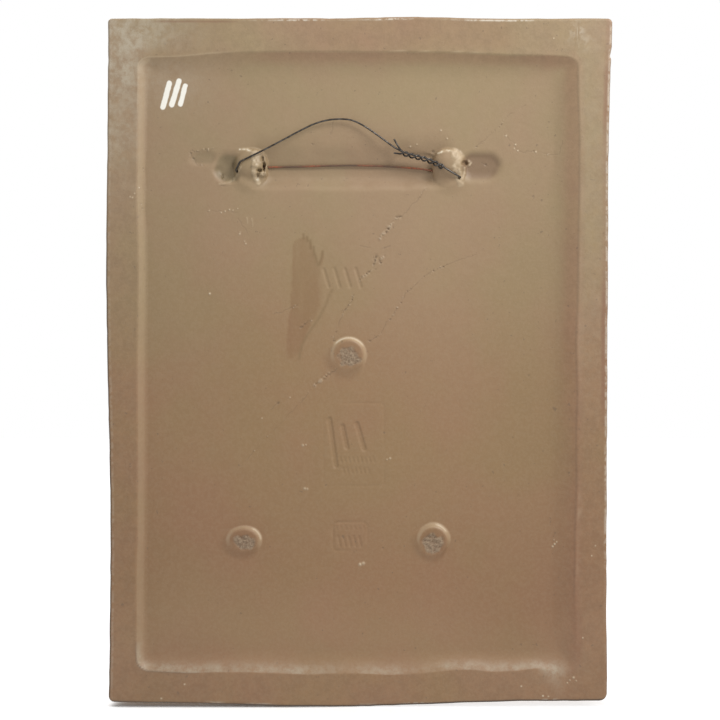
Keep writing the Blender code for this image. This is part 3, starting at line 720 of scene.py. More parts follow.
def slab_mesh():
    """The whole slab as one closed mesh."""
    box = (LEFT_X, RIGHT_X, TOP_Z, BOTTOM_Z)
    sides = []
    for inset, mouth, lip, height, size_at in (
        (0.0, PANEL_BOX, LIP_STEPS, back_height, back_size),
        (DRAFT, FIELD_BOX, FACE_LIP_STEPS, face_height, face_size),
    ):
        edge = (box[0] - inset, box[1] + inset, box[2] - inset, box[3] + inset)
        lines_x = grid_lines(edge[1], edge[0], mouth[1], mouth[0], lip, CELLS[0])
        lines_z = grid_lines(edge[3], edge[2], mouth[3], mouth[2], lip, CELLS[1])
        places, quads, triangles = split_grid(lines_x, lines_z, size_at)
        nx, nz = len(lines_x) - 1, len(lines_z) - 1
        x = np.interp(places[:, 0], np.arange(nx + 1), lines_x)
        z = np.interp(places[:, 1], np.arange(nz + 1), lines_z)
        x, z, in_from = slab_place(x, z, edge, OUTLINE_INSET)
        if height is back_height:
            x, z = follow_lips(x, z, 1)
        points = np.stack((x, height(x, z, in_from), z), axis=1)
        spot = {(a, b): i for i, (a, b) in enumerate(places.tolist()) if a in (0, nx) or b in (0, nz)}
        ring = [(a, 0) for a in range(nx)] + [(nx, b) for b in range(nz)]
        ring += [(a, nz) for a in range(nx, 0, -1)] + [(0, b) for b in range(nz, 0, -1)]
        sides.append((points, quads, triangles, [spot[key] for key in ring]))
    (back, back_quads, back_triangles, back_ring), (face, face_quads, face_triangles, face_ring) = sides
    start, end = back[back_ring], face[face_ring]
    count = len(start)
    centre = np.array(((LEFT_X + RIGHT_X) / 2, 0.0, (TOP_Z + BOTTOM_Z) / 2))
    loops = []
    for number in range(1, SIDE_LOOPS):
        share = number / SIDE_LOOPS
        row = start * (1 - share) + end * share
        turn = np.arange(count) / count * math.tau
        dent = 0.12 * (1 + noise(np.cos(turn) * 100 + share * 6, np.sin(turn) * 140, 6, 95))
        pull = np.sign(centre - row) * np.array((1.0, 0.0, 1.0))
        loops.append(row + pull * (dent * math.sin(math.pi * share))[:, None])
    points = np.concatenate((back, face, *loops)) * UNIT
    low, high = (np.array(corner) for corner in CAD_BOX)
    points = np.clip(points, low, high)
    rings = [np.array(back_ring)]
    rings += [len(back) + len(face) + number * count + np.arange(count) for number in range(SIDE_LOOPS - 1)]
    rings.append(np.array(face_ring) + len(back))
    faces = back_quads[:, ::-1].tolist() + back_triangles[:, ::-1].tolist()
    faces += (face_quads + len(back)).tolist() + (face_triangles + len(back)).tolist()
    for ring, after in zip(rings, rings[1:]):
        faces += np.stack((ring, np.roll(ring, -1), np.roll(after, -1), after), axis=1).tolist()
    mesh = bpy.data.meshes.new("plaque_body")
    mesh.from_pydata(points.tolist(), [], faces)
    mesh.update()
    return mesh


def link(name, mesh):
    """A new object in the scene for a mesh, a light or a camera."""
    obj = bpy.data.objects.new(name, mesh)
    bpy.context.scene.collection.objects.link(obj)
    return obj


def tube_mesh(name, points, radii, sides):
    """A closed round tube along points."""
    points = [Vector(point) for point in points]
    bm = bmesh.new()
    side = None
    rows = []
    for number, point in enumerate(points):
        run = (points[min(number + 1, len(points) - 1)] - points[max(number - 1, 0)]).normalized()
        side = run.orthogonal().normalized() if side is None else (side - run * side.dot(run)).normalized()
        other = run.cross(side)
        radius = radii[number] if isinstance(radii, (list, tuple)) else radii
        rows.append([
            bm.verts.new((point + (side * math.cos(turn) + other * math.sin(turn)) * radius) * UNIT)
            for turn in (math.tau * k / sides for k in range(sides))
        ])
    for row, after in zip(rows, rows[1:]):
        for k in range(sides):
            bm.faces.new((row[k], row[(k + 1) % sides], after[(k + 1) % sides], after[k]))
    for row, point, order in ((rows[0], points[0], -1), (rows[-1], points[-1], 1)):
        tip = bm.verts.new(point * UNIT)
        for k in range(sides):
            bm.faces.new((row[k], row[(k + 1) % sides], tip)[::order])
    bmesh.ops.recalc_face_normals(bm, faces=bm.faces)
    mesh = bpy.data.meshes.new(name)
    bm.to_mesh(mesh)
    bm.free()
    return mesh


# Bores for the wire, in mm: points and radii from the mouth on the left to the one on the right.
BORE_SIDES = 16
BORES = (
    (((51.8, 0.6, -23.4), (50.6, -1.6, -23.4), (48.0, -2.8, -22.8), (42.0, -3.8, -21.6), (38.0, -4.5, -21.4),
      (34.9, -4.5, -21.5)), (0.8, 1.0, 1.0, 0.9, 0.9, 0.8)),
    (((-38.9, -4.6, -22.8), (-40.5, -4.6, -23.0), (-44.0, -4.0, -24.1), (-50.4, -3.0, -25.8),
      (-52.4, -1.9, -26.1), (-53.0, 0.4, -26.2)), (0.9, 0.9, 0.9, 0.8, 0.65, 0.5)),
)


def measure(mesh):
    """The places of a mesh's points, as x, y and z in mm."""
    points = np.zeros(len(mesh.vertices) * 3)
    mesh.vertices.foreach_get("co", points)
    return points.reshape(-1, 3).T / UNIT


def store(mesh, name, values):
    """A value for each point of a mesh, which its material reads by name."""
    layer = mesh.attributes.new(name, "FLOAT", "POINT")
    layer.data.foreach_set("value", np.asarray(values, np.float32))


def stripe(name, at, half_width):
    """A factor that is 1 on the line at a distance (mm) from an edge or the lip."""
    return lambda around: groove(around[name] - at, half_width)


def spot(x, z, reach_x, reach_z):
    """A factor that is 1 at a place and falls off over its two reaches (mm)."""
    return lambda around: np.exp(-((around["x"] - x) / reach_x) ** 2 - ((around["z"] - z) / reach_z) ** 2)


def patches(seed, size, low, high, stretch=(1, 1)):
    """A factor that is 0 where noise with lumps of size (mm) is below low, and 1 where it is above high."""
    along_x, along_z = stretch
    return lambda around: steps(low, high, noise(around["x"] * along_x, around["z"] * along_z, size, seed))


def uneven(seed, size, middle, swing, stretch=(1, 1), least=0.0, most=2.0):
    """A factor that sways about middle by up to swing."""
    along_x, along_z = stretch
    return lambda around: np.clip(
        middle + swing * noise(around["x"] * along_x, around["z"] * along_z, size, seed), least, most)


def without(strength, *factors):
    """A factor that is 1 but where all the given ones are high."""
    return lambda around: 1.0 - strength * product(factors, around)


def fade(around, name, start, end, low=0.0, high=1.0):
    """From low to high as the named place or distance (mm) goes from start to end."""
    return low + (high - low) * steps(start, end, around[name])


def product(factors, around):
    """Of factors that are each a share's name, the values of a fade, or one of the functions above."""
    return math.prod(
        around[factor] if isinstance(factor, str)
        else fade(around, *factor) if isinstance(factor, tuple) else factor(around)
        for factor in factors
    )


LEFT_SLOPE = (("lip", 0.2, 0.8), ("lip", 4.2, 2.2), ("x", 88, 90))
RIGHT_SLOPE = (("lip", 0.0, 0.6), ("lip", 9.5, 4.0), ("x", -85, -92))
UPPER_SLOPE = (("lip", 0.2, 1.2), ("lip", 7.5, 3.0), ("z", 4, 14))
RIGHT_LIP = (stripe("lip", -1.1, 0.6), ("x", -100, -104.5), ("z", -240, -230))
UPPER_LIP = (stripe("lip", 0.0, 0.36), ("z", 0, 10))
RUSTY_LINE = stripe("right", 2.0, 0.55)

# What lies on the back's clay, and the shade and highlights painted on it: mask, strength, and the factors
# that say where, for product().
ZONES = (
    ("dust_and_highlight", 1.0, "rim", ("x", 86, 99), ("z", -55, 30), uneven(64, 10, 0.82, 0.3)),
    ("dust_and_highlight", 0.7, "rim", ("z", 30, 36), ("x", 55, 95)),
    ("dust_and_highlight", 0.3, "panel", ("x", 50, 80), ("z", -4, 18)),
    ("dust_and_highlight", 0.12, "rim", ("x", -104, -110), ("z", -160, -100)),
    # Dust on the lower slope, which faces the light, and a painted highlight there as well.
    ("dust_and_highlight", 0.72, ("panel", 0.0, 0.08), ("panel", 0.9, 0.35), ("z", -235, -249),
     ("x", -103.5, -96), without(0.75, ("x", -89, -93), ("z", -254.5, -257.5)),
     uneven(65, 17, 0.55, 0.6, (1, 0), 0.2, 0.9)),
    ("dust_and_highlight", 0.13, spot(-100, -253, 13, 6.5)),
    # Painted shade: thin lines of shade along the left, bottom and right edges and along parts of the lips.
    ("edge_and_lip_shade", 0.85, ("left", 1.0, 0.45), ("z", -80, -30, 1.0, 0.35)),
    ("edge_and_lip_shade", 0.97, ("hem", 1.0, 0.5)),
    ("edge_and_lip_shade", 0.28, ("bottom", 1.5, 0.9)),
    ("edge_and_lip_shade", 0.2, stripe("lip", 0.3, 0.5), ("x", -100, -104.5), ("z", -235, -200)),
    ("edge_and_lip_shade", 0.6, ("right", 0.45, 0.1)),
    ("edge_and_lip_shade", 0.4, stripe("lip", 0.0, 0.35), ("z", -235, -250), ("x", 60, 78)),
    ("worn", 0.28, stripe("left", 1.4, 0.3)),
    ("worn", 0.5, stripe("right", 0.8, 0.45), ("z", -215, -185, 0.15, 1.0)),
    ("worn", 1.0, stripe("top", 1.1, 0.32), patches(69, 14, -0.7, 0.5, (1, 0)), ("x", 50, 30)),
    ("worn", 0.5, stripe("bottom", 1.0, 0.35), patches(75, 12, 0.1, 0.6, (1, 0))),
    ("worn", 0.35, spot(-107.5, 38.5, 6.0, 5.5), patches(76, 4, -0.1, 0.6, (7, 0.8))),
    ("pale", 0.1, *RIGHT_LIP, uneven(77, 12, 1.0, 1.0, (0, 1))),
    ("pale", 0.55, *RIGHT_LIP, patches(79, 2.1, -0.1, 0.4), patches(82, 11, -0.35, 0.25, (0, 1)),
     ("z", -120, -150)),
    # Painted highlight on the left slope, which faces the light.
    ("pale", 1.0, *LEFT_SLOPE, ("z", -130, -40, 0.24, 0.29)),
    ("pale", 0.34, *UPPER_LIP, ("x", 46, 62)),
    ("pale", 0.42, *UPPER_LIP, ("x", -18, -27), ("x", -66, -56), patches(78, 1.7, -0.1, 0.5, (1, 0))),
    # Painted shade, browner, on the upper and right slopes, which face away from the light; on the rim these
    # zones only make the clay browner and darker.
    ("umber_and_shade", 0.85, *UPPER_SLOPE, ("x", 60, 30)),
    ("umber_and_shade", 1.0, *RIGHT_SLOPE, ("z", -160, -70, 0.08, 0.9)),
    ("umber_and_shade", 0.75, "rim", ("z", 28, 34), ("x", 45, -5), ("x", -85, -70)),
    ("umber_and_shade", 0.6, "rim", ("lip", -3.5, -1.5), ("x", -100, -106)),
    ("umber_and_shade", 0.95, "rim", ("right", 4.0, 1.2), ("z", -180, -90)),
    ("rust", 1.0, RUSTY_LINE, ("z", -70, -80), ("z", -145, -125)),
    ("rust", 1.0, RUSTY_LINE, ("z", 26, 20), ("z", -12, 0)),
    ("rust", 0.8, stripe("top", 1.6, 0.5), ("x", 46, 55), ("x", 90, 82)),
)


def surroundings(x, z):
    """What the factors go by: places, distances in from the lip and each edge (mm), and shares."""
    around = dict(zip(("left", "right", "top", "bottom"), edge_distances(x, z)))
    around.update(x=x, z=z, lip=lip_distance(x, z), panel=panel_share(x, z))
    around["hem"] = around["bottom"] - 0.22 * steps(52, 44, x)
    around["rim"] = 1.0 - around["panel"]
    return around


def zone_masks(around):
    """Each mask in ZONES: its strongest zone at every place, or, for the mask of dusted zones that also holds
    painted highlight, the sum of its zones.
    """
    masks = {}
    for name, strength, *factors in ZONES:
        zone = strength * product(factors, around)
        join = np.add if name == "dust_and_highlight" else np.maximum
        masks[name] = join(masks[name], zone) if name in masks else zone
    return masks


def boss_masks(x, z):
    """The bosses' tops, their broken middles, how gritty these are with painted light and shade that follow
    their height, and the painted highlights on their slopes.
    """
    capped, broken, pale = np.zeros(x.shape), np.zeros(x.shape), np.zeros(x.shape)
    # The same noise that raises the broken middles makes them paler here: painted light on their raised bits
    # and painted shade in their low ones.
    grit = 0.4 + 1.3 * rough(x, z, 0.9, 53)
    for place in BOSSES:
        _, disc, core, lit = boss_relief(x, z, place)
        capped, broken, pale = np.maximum(capped, disc), np.maximum(broken, core), np.maximum(pale, lit)
        grit = grit + 1.6 * core * (1.0 - core) * steps(0.0, 0.5, noise(x, z, 1.8, 55))
    return capped, broken, grit, pale


def stain_mask(x, z):
    """The damp patch, crisp at its upper left and soft at its foot, with faint runs in it."""
    distance = near(x, z, STAIN + STAIN[:1], 8) * np.where(within(x, z, STAIN), -1.0, 1.0)
    soft = 0.8 + 2.2 * steps(18, 11, x) * steps(-64, -70, z)
    stain = 1.0 - steps(-soft, 0.4 * soft, distance + 0.3 * noise(x * 4, z, 2.5, 62))
    runs = 0.78 + 0.22 * noise(x * 3, z * 0.25, 5, 67)
    return stain * runs * (1.0 - 0.35 * steps(-100, -111, z))


def mark_slab(mesh):
    """Where the clay is dusted, stained, torn, cracked, painted, worn at its edges or given a darker wash,
    and where shade and highlights are painted on it: in the hollows, along edges and lips, on slopes and on
    the bosses.
    """
    x, y, z = measure(mesh)
    around = surroundings(x, z)
    masks = zone_masks(around)
    crack, crumb, pale = crumbs(x, z)
    for points, half_width, _, paleness in RIDGES:
        pale = np.maximum(pale, paleness * torn(x, z, points, half_width * 1.1))
    pale = pale * (0.82 + 0.75 * rough(x, z, 1, 66))
    capped, broken, grit, lit = boss_masks(x, z)
    bristle = np.max([groove(near(x, z, points, 4), 0.62) for points in BRISTLES], axis=0)
    streak = groove(near(x, z, STREAK, 4), 0.6)
    # Painted shade in the trench and its scoops, stronger in the scoops beyond the bridges.
    outer = 0.2 + 0.8 * steps(49, 53, np.abs(x + 2))
    masks.update(
        # Paler clay where torn or crumbled, with the painted highlights on the bosses' slopes.
        pale=np.maximum(masks["pale"], np.maximum(pale, lit)),
        crack=crack + 1.2 * np.maximum(-crumb, 0), crumb=crumb * 1.2, broken=broken, grit=grit,
        recess=outer * steps(0.2, 1.2, hollow_depth(x, z)),
        stain=np.maximum(stain_mask(x, z), 0.55 * capped), bristle=np.maximum(0.95 * bristle, 0.8 * streak),
        rim=around["rim"], paint=paint(x, z),
    )
    for name, values in masks.items():
        store(mesh, name, (y > SEAM_Y) * np.clip(values, 0, 1))
    ground = steps(0.0, 0.9, (y - FRAME_Y) / (FIELD_Y - FRAME_Y) * (y < SEAM_Y))
    relief = np.where(y < SEAM_Y, leaf_relief(x, z), 0.0)
    store(mesh, "wash", ground * (1 - 0.8 * steps(0.3, 1.8, relief)))


class Graph:
    """A material's nodes, each made with its inputs, which are values or other nodes' outputs."""

    def __init__(self, name):
        self.material = bpy.data.materials.new(name)
        self.material.use_nodes = True
        self.tree = self.material.node_tree
        self.shader = self.tree.nodes["Principled BSDF"]

    def set(self, node, inputs):
        for key, value in inputs.items():
            if isinstance(value, bpy.types.NodeSocket):
                self.tree.links.new(value, node.inputs[key])
            else:
                node.inputs[key].default_value = value

    def add(self, kind, inputs, **settings):
        node = self.tree.nodes.new(kind)
        for key, value in settings.items():
            setattr(node, key, value)
        self.set(node, inputs)
        return node

    def place(self):
        return self.add("ShaderNodeTexCoord", {}).outputs["Object"]

    def noise(self, scale, detail=2.0, roughness=0.5, stretch=None):
        place = self.place()
        if stretch:
            place = self.add("ShaderNodeMapping", {"Vector": place, "Scale": stretch}).outputs[0]
        values = {"Vector": place, "Scale": scale, "Detail": detail, "Roughness": roughness}
        return self.add("ShaderNodeTexNoise", values).outputs["Fac"]

    def ramp(self, value, low, high, to_low=0.0, to_high=1.0):
        values = {"Value": value, "From Min": low, "From Max": high, "To Min": to_low, "To Max": to_high}
        return self.add("ShaderNodeMapRange", values, interpolation_type="SMOOTHSTEP").outputs["Result"]

    def math(self, operation, *values):
        return self.add("ShaderNodeMath", dict(enumerate(values)), operation=operation).outputs[0]

    def mix(self, share, below, above, blend="MIX"):
        below, above = ((*tone, 1.0) if isinstance(tone, tuple) else tone for tone in (below, above))
        inputs = {0: share, 6: below, 7: above}
        return self.add("ShaderNodeMix", inputs, data_type="RGBA", blend_type=blend).outputs[2]

    def mask(self, name, strength=1.0):
        share = self.add("ShaderNodeAttribute", {}, attribute_name=name).outputs["Fac"]
        return share if strength == 1.0 else self.math("MULTIPLY", share, strength)


# The clay's colour from its foot upwards: between which heights it turns to a tone. Towards the top it turns
# lighter and greyer, which is painted light from above on the clay's tone.
CLAY_FOOT = (0.244, 0.138, 0.068)
CLAY_TONES_WITH_PAINTED_LIGHT = (
    (-0.212, -0.188, (0.261, 0.152, 0.077)), (-0.185, -0.145, (0.242, 0.134, 0.064)),
    (-0.145, -0.08, (0.25, 0.148, 0.07)), (-0.09, 0.07, (0.276, 0.194, 0.107)),
)


def clay(g):
    """The clay: its drift in colour, with painted light that makes it lighter and greyer towards the top, its
    patches and its grain.
    """
    split = g.add("ShaderNodeSeparateXYZ", {"Vector": g.place()})
    across, height = split.outputs["X"], split.outputs["Z"]
    drift = g.math("MULTIPLY_ADD", g.noise(9.0, 1.0), 0.12, height)
    colour = CLAY_FOOT
    for low, high, tone in CLAY_TONES_WITH_PAINTED_LIGHT:
        colour = g.mix(g.ramp(drift, low, high), colour, tone)
    tint = g.mix(g.ramp(g.noise(15.0, 3.0, 0.55), 0.36, 0.64), (0.975, 1.012, 0.965), (1.03, 0.982, 1.01))
    colour = g.mix(1.0, colour, tint, "MULTIPLY")
    aside = g.math("ABSOLUTE", g.math("ADD", across, 0.008))
    colour = g.mix(1.0, colour, g.mix(g.ramp(aside, 0.025, 0.105), (1.035,) * 3, (0.95,) * 3), "MULTIPLY")
    patch = g.ramp(g.noise(30.0, 3.0, 0.6), 0.35, 0.65)
    patchy = g.math("MULTIPLY_ADD", g.mask("rim"), 0.12, 0.05)
    colour = g.mix(g.math("MULTIPLY", patch, patchy), colour, (0.195, 0.12, 0.072))
    mottle = g.mix(g.ramp(g.noise(260.0, 4.0, 0.75), 0.36, 0.64), (0.945,) * 3, (1.055,) * 3)
    colour = g.mix(g.math("MULTIPLY_ADD", g.mask("rim"), 0.75, 0.25), colour, mottle, "MULTIPLY")
    grain = g.ramp(g.noise(700.0, 3.0, 0.65), 0.38, 0.66)
    colour = g.mix(g.math("MULTIPLY", grain, 0.13), colour, (0.34, 0.25, 0.155))
    speck = g.ramp(g.noise(420.0, 2.0, 0.6), 0.69, 0.75)
    return g.mix(g.math("MULTIPLY", speck, 0.4), colour, (0.11, 0.075, 0.05)), across


def stoneware():
    g = Graph("stoneware_clay")
    colour, across = clay(g)
    # The tint of the painted shade in the hollows, greener on the +X side.
    hollow_shade = g.mix(g.math("GREATER_THAN", across, 0.0), (0.7, 0.64, 0.65), (0.74, 0.79, 0.76))
    # Dust, which on the lower slope also stands for a painted highlight.
    dust_and_highlight_share = g.math("MULTIPLY", g.mask("dust_and_highlight"), g.ramp(g.noise(200.0, 5.0, 0.78), 0.34, 0.66, 0.15, 0.97))
    # Paler clay where torn or crumbled, and the painted highlights on the left slope and the bosses' slopes.
    cream = g.mix(g.ramp(g.mask("pale"), 0.75, 1.0), (0.53, 0.415, 0.275), (0.66, 0.59, 0.46))
    # Colour of the bosses' broken middles: random grains, and painted light and shade that follow their
    # height.
    grains = g.math("MULTIPLY", g.ramp(g.noise(1500.0, 3.0, 0.65), 0.4, 0.6), 0.55)
    grains = g.math("MULTIPLY_ADD", g.mask("grit"), 0.45, grains)
    gritty = g.mix(grains, (0.145, 0.102, 0.066), (0.385, 0.325, 0.232))
    flecked = g.math("MULTIPLY", g.mask("worn"), g.ramp(g.noise(420.0, 3.0, 0.6), 0.38, 0.58))
    for share, tone, blend in (
        # Painted shade in the hollows.
        (g.mask("recess"), hollow_shade, "MULTIPLY"),
        (g.mask("stain"), (0.86, 0.775, 0.72), "MULTIPLY"),
        # Painted shade on the slopes that face away from the light, and a browner tone on the rim.
        (g.mask("umber_and_shade"), (0.93, 0.82, 0.83), "MULTIPLY"),
        (g.mask("bristle", 0.7), (0.18, 0.112, 0.048), "MIX"),
        (dust_and_highlight_share, (0.385, 0.327, 0.24), "MIX"),
        (g.mask("rust", 0.6), (0.19, 0.088, 0.048), "MIX"),
        (g.mask("crack", 0.42), (0.11, 0.075, 0.045), "MIX"),
        (g.mask("crumb", 0.42), (0.42, 0.33, 0.23), "MIX"),
        (g.mask("pale", 0.78), cream, "MIX"),
        (g.mask("broken", 0.52), gritty, "MIX"),
        (flecked, (0.56, 0.5, 0.41), "MIX"),
        # Painted shade along the edges and the lips.
        (g.mask("edge_and_lip_shade"), (0.075, 0.05, 0.032), "MIX"),
        (g.mask("wash", 0.6), (0.115, 0.07, 0.042), "MIX"),
        (g.mask("paint"), (0.8, 0.775, 0.7), "MIX"),
    ):
        colour = g.mix(share, colour, tone, blend)
    relief = g.math("MULTIPLY_ADD", g.noise(900.0, 3.0, 0.6), 0.6, g.noise(240.0, 2.0))
    coarse = g.math("MULTIPLY", g.mask("rim"), g.noise(420.0, 3.0, 0.6))
    relief = g.math("MULTIPLY_ADD", coarse, 0.7, relief)
    bump = g.add("ShaderNodeBump", {"Height": relief, "Strength": 0.6, "Distance": 0.00012}).outputs["Normal"]
    roughness = g.ramp(g.noise(120.0, 2.0), 0.3, 0.7, 0.47, 0.62)
    g.set(g.shader, {"Base Color": colour, "Roughness": roughness, "Normal": bump, "Specular IOR Level": 0.5})
    return g.material


def wire_steel():
    g = Graph("wire_steel_dark")
    rust = g.math("MULTIPLY", g.mask("rust"), g.ramp(g.noise(900.0, 3.0, 0.6), 0.3, 0.55))
    steel = g.mix(g.ramp(g.noise(600.0, 2.0), 0.35, 0.7), (0.034, 0.029, 0.026), (0.11, 0.1, 0.09))
    steel = g.mix(g.mask("low", 0.85), steel, (0.115, 0.066, 0.04))
    colour = g.mix(rust, steel, (0.3, 0.085, 0.035))
    dull = g.math("MAXIMUM", rust, g.mask("low", 0.45))
    metallic, roughness = (g.ramp(dull, 0.1, 0.6, *ends) for ends in ((0.65, 0.05), (0.36, 0.8)))
    bump = g.add("ShaderNodeBump", {"Height": g.noise(1500.0, 3.0), "Strength": 0.3, "Distance": 0.00004})
    g.set(g.shader, {"Base Color": colour, "Metallic": metallic, "Roughness": roughness,
                     "Normal": bump.outputs["Normal"]})
    return g.material


def make_slab():
    """The slab, bored for the wire, with its masks and its clay."""
    slab = link("plaque_body", slab_mesh())
    bores = [link("bore", tube_mesh("bore", points, radii, BORE_SIDES)) for points, radii in BORES]
    for bore in bores:
        step = slab.modifiers.new("bore", "BOOLEAN")
        step.operation, step.solver, step.object = "DIFFERENCE", "MANIFOLD", bore
    graph = bpy.context.evaluated_depsgraph_get()
    mesh = bpy.data.meshes.new_from_object(slab.evaluated_get(graph))
    slab.modifiers.clear()
    slab.data = mesh
    for bore in bores:
        bpy.data.objects.remove(bore)
    mark_slab(mesh)
    mesh.shade_smooth()
    mesh.materials.clear()
    mesh.materials.append(stoneware())
    return slab


# The wire's route in mm, as in the CAD source, but deeper in the clay at both bridges.
WIRE_RADIUS = 0.4
ARC = (
    (50, -0.8, -22.6), (49.2, 0, -21.1), (48.6, 0.4, -19.9), (48.1, 0.6, -19), (47.2, 0.8, -18.5),
    (44.8, 0.9, -17.3), (38, 0.7, -14), (27.5, 0.3, -8.5), (20.6, 0.1, -4.8), (13.2, 0, -1.4),
    (6.6, 0, 0.2), (0, 0, 0.4), (-4, 0, -0.4), (-8.8, 0.1, -2.8), (-14.7, 0.3, -6.8), (-20, 0.4, -10.7),
    (-22.7, 0.5, -12.6),
)
TWIST_AXIS = (
    (-25.2, 0.5, -14), (-28.4, 0.5, -15.2), (-32.2, 0.5, -16.2), (-36.8, 0.5, -17.4), (-41.2, 0.7, -19.2),
    (-44, 0.8, -20.6),
)
LOWER_RUN = (
    (-51.6, -2.2, -26), (-50, -3, -25.7), (-46, -3.7, -24.6), (-39.5, -4.6, -23), (-35.5, -4.7, -22.3),
    (-29, -4.7, -21.7), (-16, -4.5, -20.9), (0, -4.5, -20.6), (20, -4.6, -21.1), (33.5, -4.8, -21.4),
    (42.5, -3.6, -21.6), (47.8, -2.8, -22.8), (49.8, -2, -23.3),
)
OVER_RIGHT = (
    (-45.6, 0.9, -21.8), (-47.7, 0.8, -23.1), (-50.3, 0.1, -24.6), (-52, -0.6, -25.6), (-52.5, -1.4, -26),
)
TIP_UP = (-22.3, 1.3, -8.7)
TIP_DOWN = (-22.2, 0.2, -15)
COIL_RADIUS, COIL_LEAN, COIL_TURNS, POINTS_PER_TURN = 0.95, 0.5, 3.5, 24
COIL_FLAT = 0.35                # how much flatter the coil is where it nears the right bridge
SPAN_POINTS = 7
BEND_STEPS = 10
WIRE_SIDES = 14
WIRE_RUST = ((1.0, -31, 5.5), (1.0, 33, 3.5), (0.7, 15, 5))                          # strength, x, reach


def smooth(points, per_span):
    """Points on a smooth curve through the given ones in mm (Catmull-Rom, centripetal)."""
    keys = [Vector(point) for point in points]
    keys = [keys[0] * 2 - keys[1]] + keys + [keys[-1] * 2 - keys[-2]]
    out = []
    for a, b, c, d in zip(keys, keys[1:], keys[2:], keys[3:]):
        knots = [0.0]
        for p, q in ((a, b), (b, c), (c, d)):
            knots.append(knots[-1] + math.sqrt((q - p).length))
        steps_here = max(2, round(per_span * (c - b).length / 4))
        for step in range(steps_here):
            t = knots[1] + (knots[2] - knots[1]) * step / steps_here
            ab = a + (b - a) * (t - knots[0]) / (knots[1] - knots[0])
            bc = b + (c - b) * (t - knots[1]) / (knots[2] - knots[1])
            cd = c + (d - c) * (t - knots[2]) / (knots[3] - knots[2])
            abc = ab + (bc - ab) * (t - knots[0]) / (knots[2] - knots[0])
            bcd = bc + (cd - bc) * (t - knots[1]) / (knots[3] - knots[1])
            out.append(abc + (bcd - abc) * (t - knots[1]) / (knots[2] - knots[1]))
    out.append(keys[-2])
    return out


def bend(start, leaving, end, arriving, reach):
    """Points strictly between start and end, on a curve that leaves and arrives in given directions."""
    handles = start + leaving * reach, end - arriving * reach
    return interpolate_bezier(start, *handles, end, BEND_STEPS + 1)[1:-1]


def coil(axis, phase):
    """A strand wound round the twist's axis from its left end to its right end, phase 0 lowest."""
    count = round(COIL_TURNS * POINTS_PER_TURN)
    points = []
    for step in range(count + 1):
        share = step / count
        place = share * (len(axis) - 1)
        low = min(int(place), len(axis) - 2)
        run = (axis[low + 1] - axis[low]).normalized()
        down = run.cross(Vector((0.0, 1.0, 0.0))).normalized()
        angle = phase + math.tau * COIL_TURNS * share
        offset = down * (COIL_LEAN + COIL_RADIUS * math.cos(angle))
        depth = COIL_RADIUS * (1.0 - COIL_FLAT * float(steps(0.55, 0.85, share)))
        offset = offset + down.cross(run) * (depth * math.sin(angle))
        points.append(axis[low].lerp(axis[low + 1], place - low) + offset)
    return points


def direction(start, end):
    """From start towards end, 1 long."""
    return (end - start).normalized()


def wire_route():
    """From the lower tip round the twist, through both bridges, over the arc and back to the upper tip."""
    axis = smooth(TWIST_AXIS, 6)
    outward, homeward = coil(axis, 0.0), coil(axis, math.pi)[::-1]
    around = smooth(OVER_RIGHT + LOWER_RUN + ARC, SPAN_POINTS)
    lower, upper = Vector(TIP_DOWN), Vector(TIP_UP)

    def joint(before, after, reach):
        """The bend between two stretches, of which a loose tip is one without a direction of its own."""
        across = direction(before[-1], after[0])
        leaving = direction(*before[-2:]) if len(before) > 1 else across
        arriving = direction(*after[:2]) if len(after) > 1 else across
        return bend(before[-1], leaving, after[0], arriving, reach)

    route = [lower] + joint([lower], outward, 1) + outward
    route += joint(outward, around, 0.8) + around + axis
    route += joint(axis, homeward, 1.1) + homeward
    return route + joint(homeward, [upper], 1) + [upper]


def make_wire():
    """The wire, with rust where it runs low in the trench."""
    mesh = tube_mesh("hanging_wire_fine", wire_route(), WIRE_RADIUS, WIRE_SIDES)
    x, y, z = measure(mesh)
    low_run = 1 - steps(-4.2, -3, y)
    blotches = 0.5 * steps(-0.15, 0.35, noise(x, z * 0, 6.5, 101))
    ends = sum(strength * np.exp(-((x - middle) / reach) ** 2) for strength, middle, reach in WIRE_RUST)
    store(mesh, "rust", np.clip(np.maximum(blotches, ends) * low_run, 0, 1))
    store(mesh, "low", low_run)
    mesh.shade_smooth()
    mesh.materials.append(wire_steel())
    return link("hanging_wire_fine", mesh)


# The studio: camera where the photographer stood, light from the upper right of the view.
AIM = Vector((-0.00676, 0.002, -0.1097))
DISTANCE, PITCH, LENS = 1.1976, math.radians(3.0), 130.6
FLOOR_SIZE = 3.0
WHITE = (1.0, 1.0, 1.0, 1.0)
WORLD_STRENGTH, OPEN_GLOW = 0.78, 0.52
LIGHTS = (                      # name, place, size, watts
    ("key", (-0.36, 0.33, 0.34), 0.26, 3.3), ("face_key", (0.42, -0.4, 0.4), 0.3, 4.5),
)


def make_camera():
    camera = link("camera", bpy.data.cameras.new("camera"))
    camera.location = AIM + Vector((0.0, math.cos(PITCH), math.sin(PITCH))) * DISTANCE
    camera.rotation_euler = (math.radians(90.0) - PITCH, 0.0, math.radians(180.0))
    camera.data.lens, camera.data.sensor_width = LENS, 36.0
    camera.data.clip_start, camera.data.clip_end = 0.01, 50.0
    bpy.context.scene.camera = camera


def make_light(name, place, size, watts, lit):
    """A square soft light aimed at the plaque, which lights only the collection lit."""
    data = bpy.data.lights.new(name, "AREA")
    data.shape, data.size, data.energy = "SQUARE", size, watts
    light = link(name, data)
    light.location = place
    light.rotation_euler = (AIM - Vector(place)).to_track_quat("-Z", "Y").to_euler()
    light.visible_camera = False
    light.light_linking.receiver_collection = lit


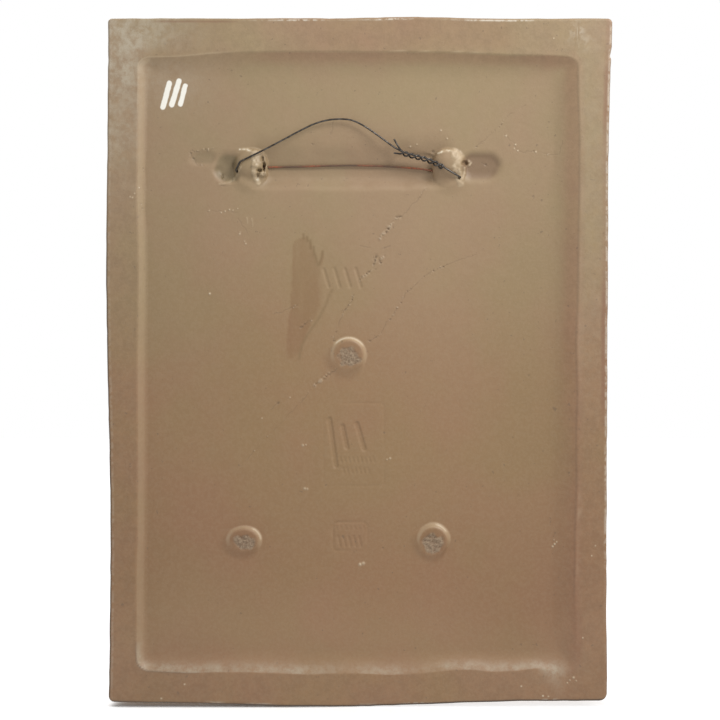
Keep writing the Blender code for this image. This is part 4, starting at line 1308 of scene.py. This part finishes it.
def make_floor():
    """A white floor, shaded close round the plaque's foot, more so left of its middle."""
    bm = bmesh.new()
    bmesh.ops.create_grid(bm, x_segments=8, y_segments=8, size=FLOOR_SIZE / 2)
    mesh = bpy.data.meshes.new("floor")
    bm.to_mesh(mesh)
    bm.free()
    floor = link("floor", mesh)
    floor.location.z = CAD_BOX[0].z
    g = Graph("floor_white")
    open_share = g.ramp(g.add("ShaderNodeAmbientOcclusion", {"Distance": 0.005}).outputs["AO"], 0.4, 0.9)
    across = g.add("ShaderNodeSeparateXYZ", {"Vector": g.place()}).outputs["X"]
    shaded = g.ramp(across, -0.02, 0.03, 0.72, 0.02)
    glow = g.math("MULTIPLY_ADD", open_share, g.math("SUBTRACT", OPEN_GLOW, shaded), shaded)
    g.set(g.shader, {"Base Color": (0.98, 0.98, 0.98, 1.0), "Roughness": 0.9, "Specular IOR Level": 0.1,
                     "Emission Color": WHITE, "Emission Strength": glow})
    mesh.materials.append(g.material)
    floor.visible_diffuse = floor.visible_glossy = False


def make_world():
    """Even white light all round, seen as plain white by the camera."""
    world = bpy.context.scene.world = bpy.data.worlds.new("studio")
    world.use_nodes = True
    tree = world.node_tree
    lit, seen = tree.nodes["Background"], tree.nodes.new("ShaderNodeBackground")
    lit.inputs["Strength"].default_value = WORLD_STRENGTH
    lit.inputs["Color"].default_value = seen.inputs["Color"].default_value = WHITE
    mixer = tree.nodes.new("ShaderNodeMixShader")
    ray = tree.nodes.new("ShaderNodeLightPath")
    for number, source in enumerate((ray.outputs["Is Camera Ray"], lit.outputs[0], seen.outputs[0])):
        tree.links.new(source, mixer.inputs[number])
    tree.links.new(mixer.outputs[0], tree.nodes["World Output"].inputs["Surface"])


def main():
    make_camera()
    make_world()
    make_floor()
    bpy.context.scene.view_settings.view_transform = "Standard"
    lit = bpy.data.collections.new("lit")
    for piece, node, slot in (
        (make_slab(), "plaque", "stoneware"), (make_wire(), "hanging_wire", "wire_steel"),
    ):
        lit.objects.link(piece)
        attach(piece, "root")
        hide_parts(node)
    for light in LIGHTS:
        make_light(*light, lit)


main()
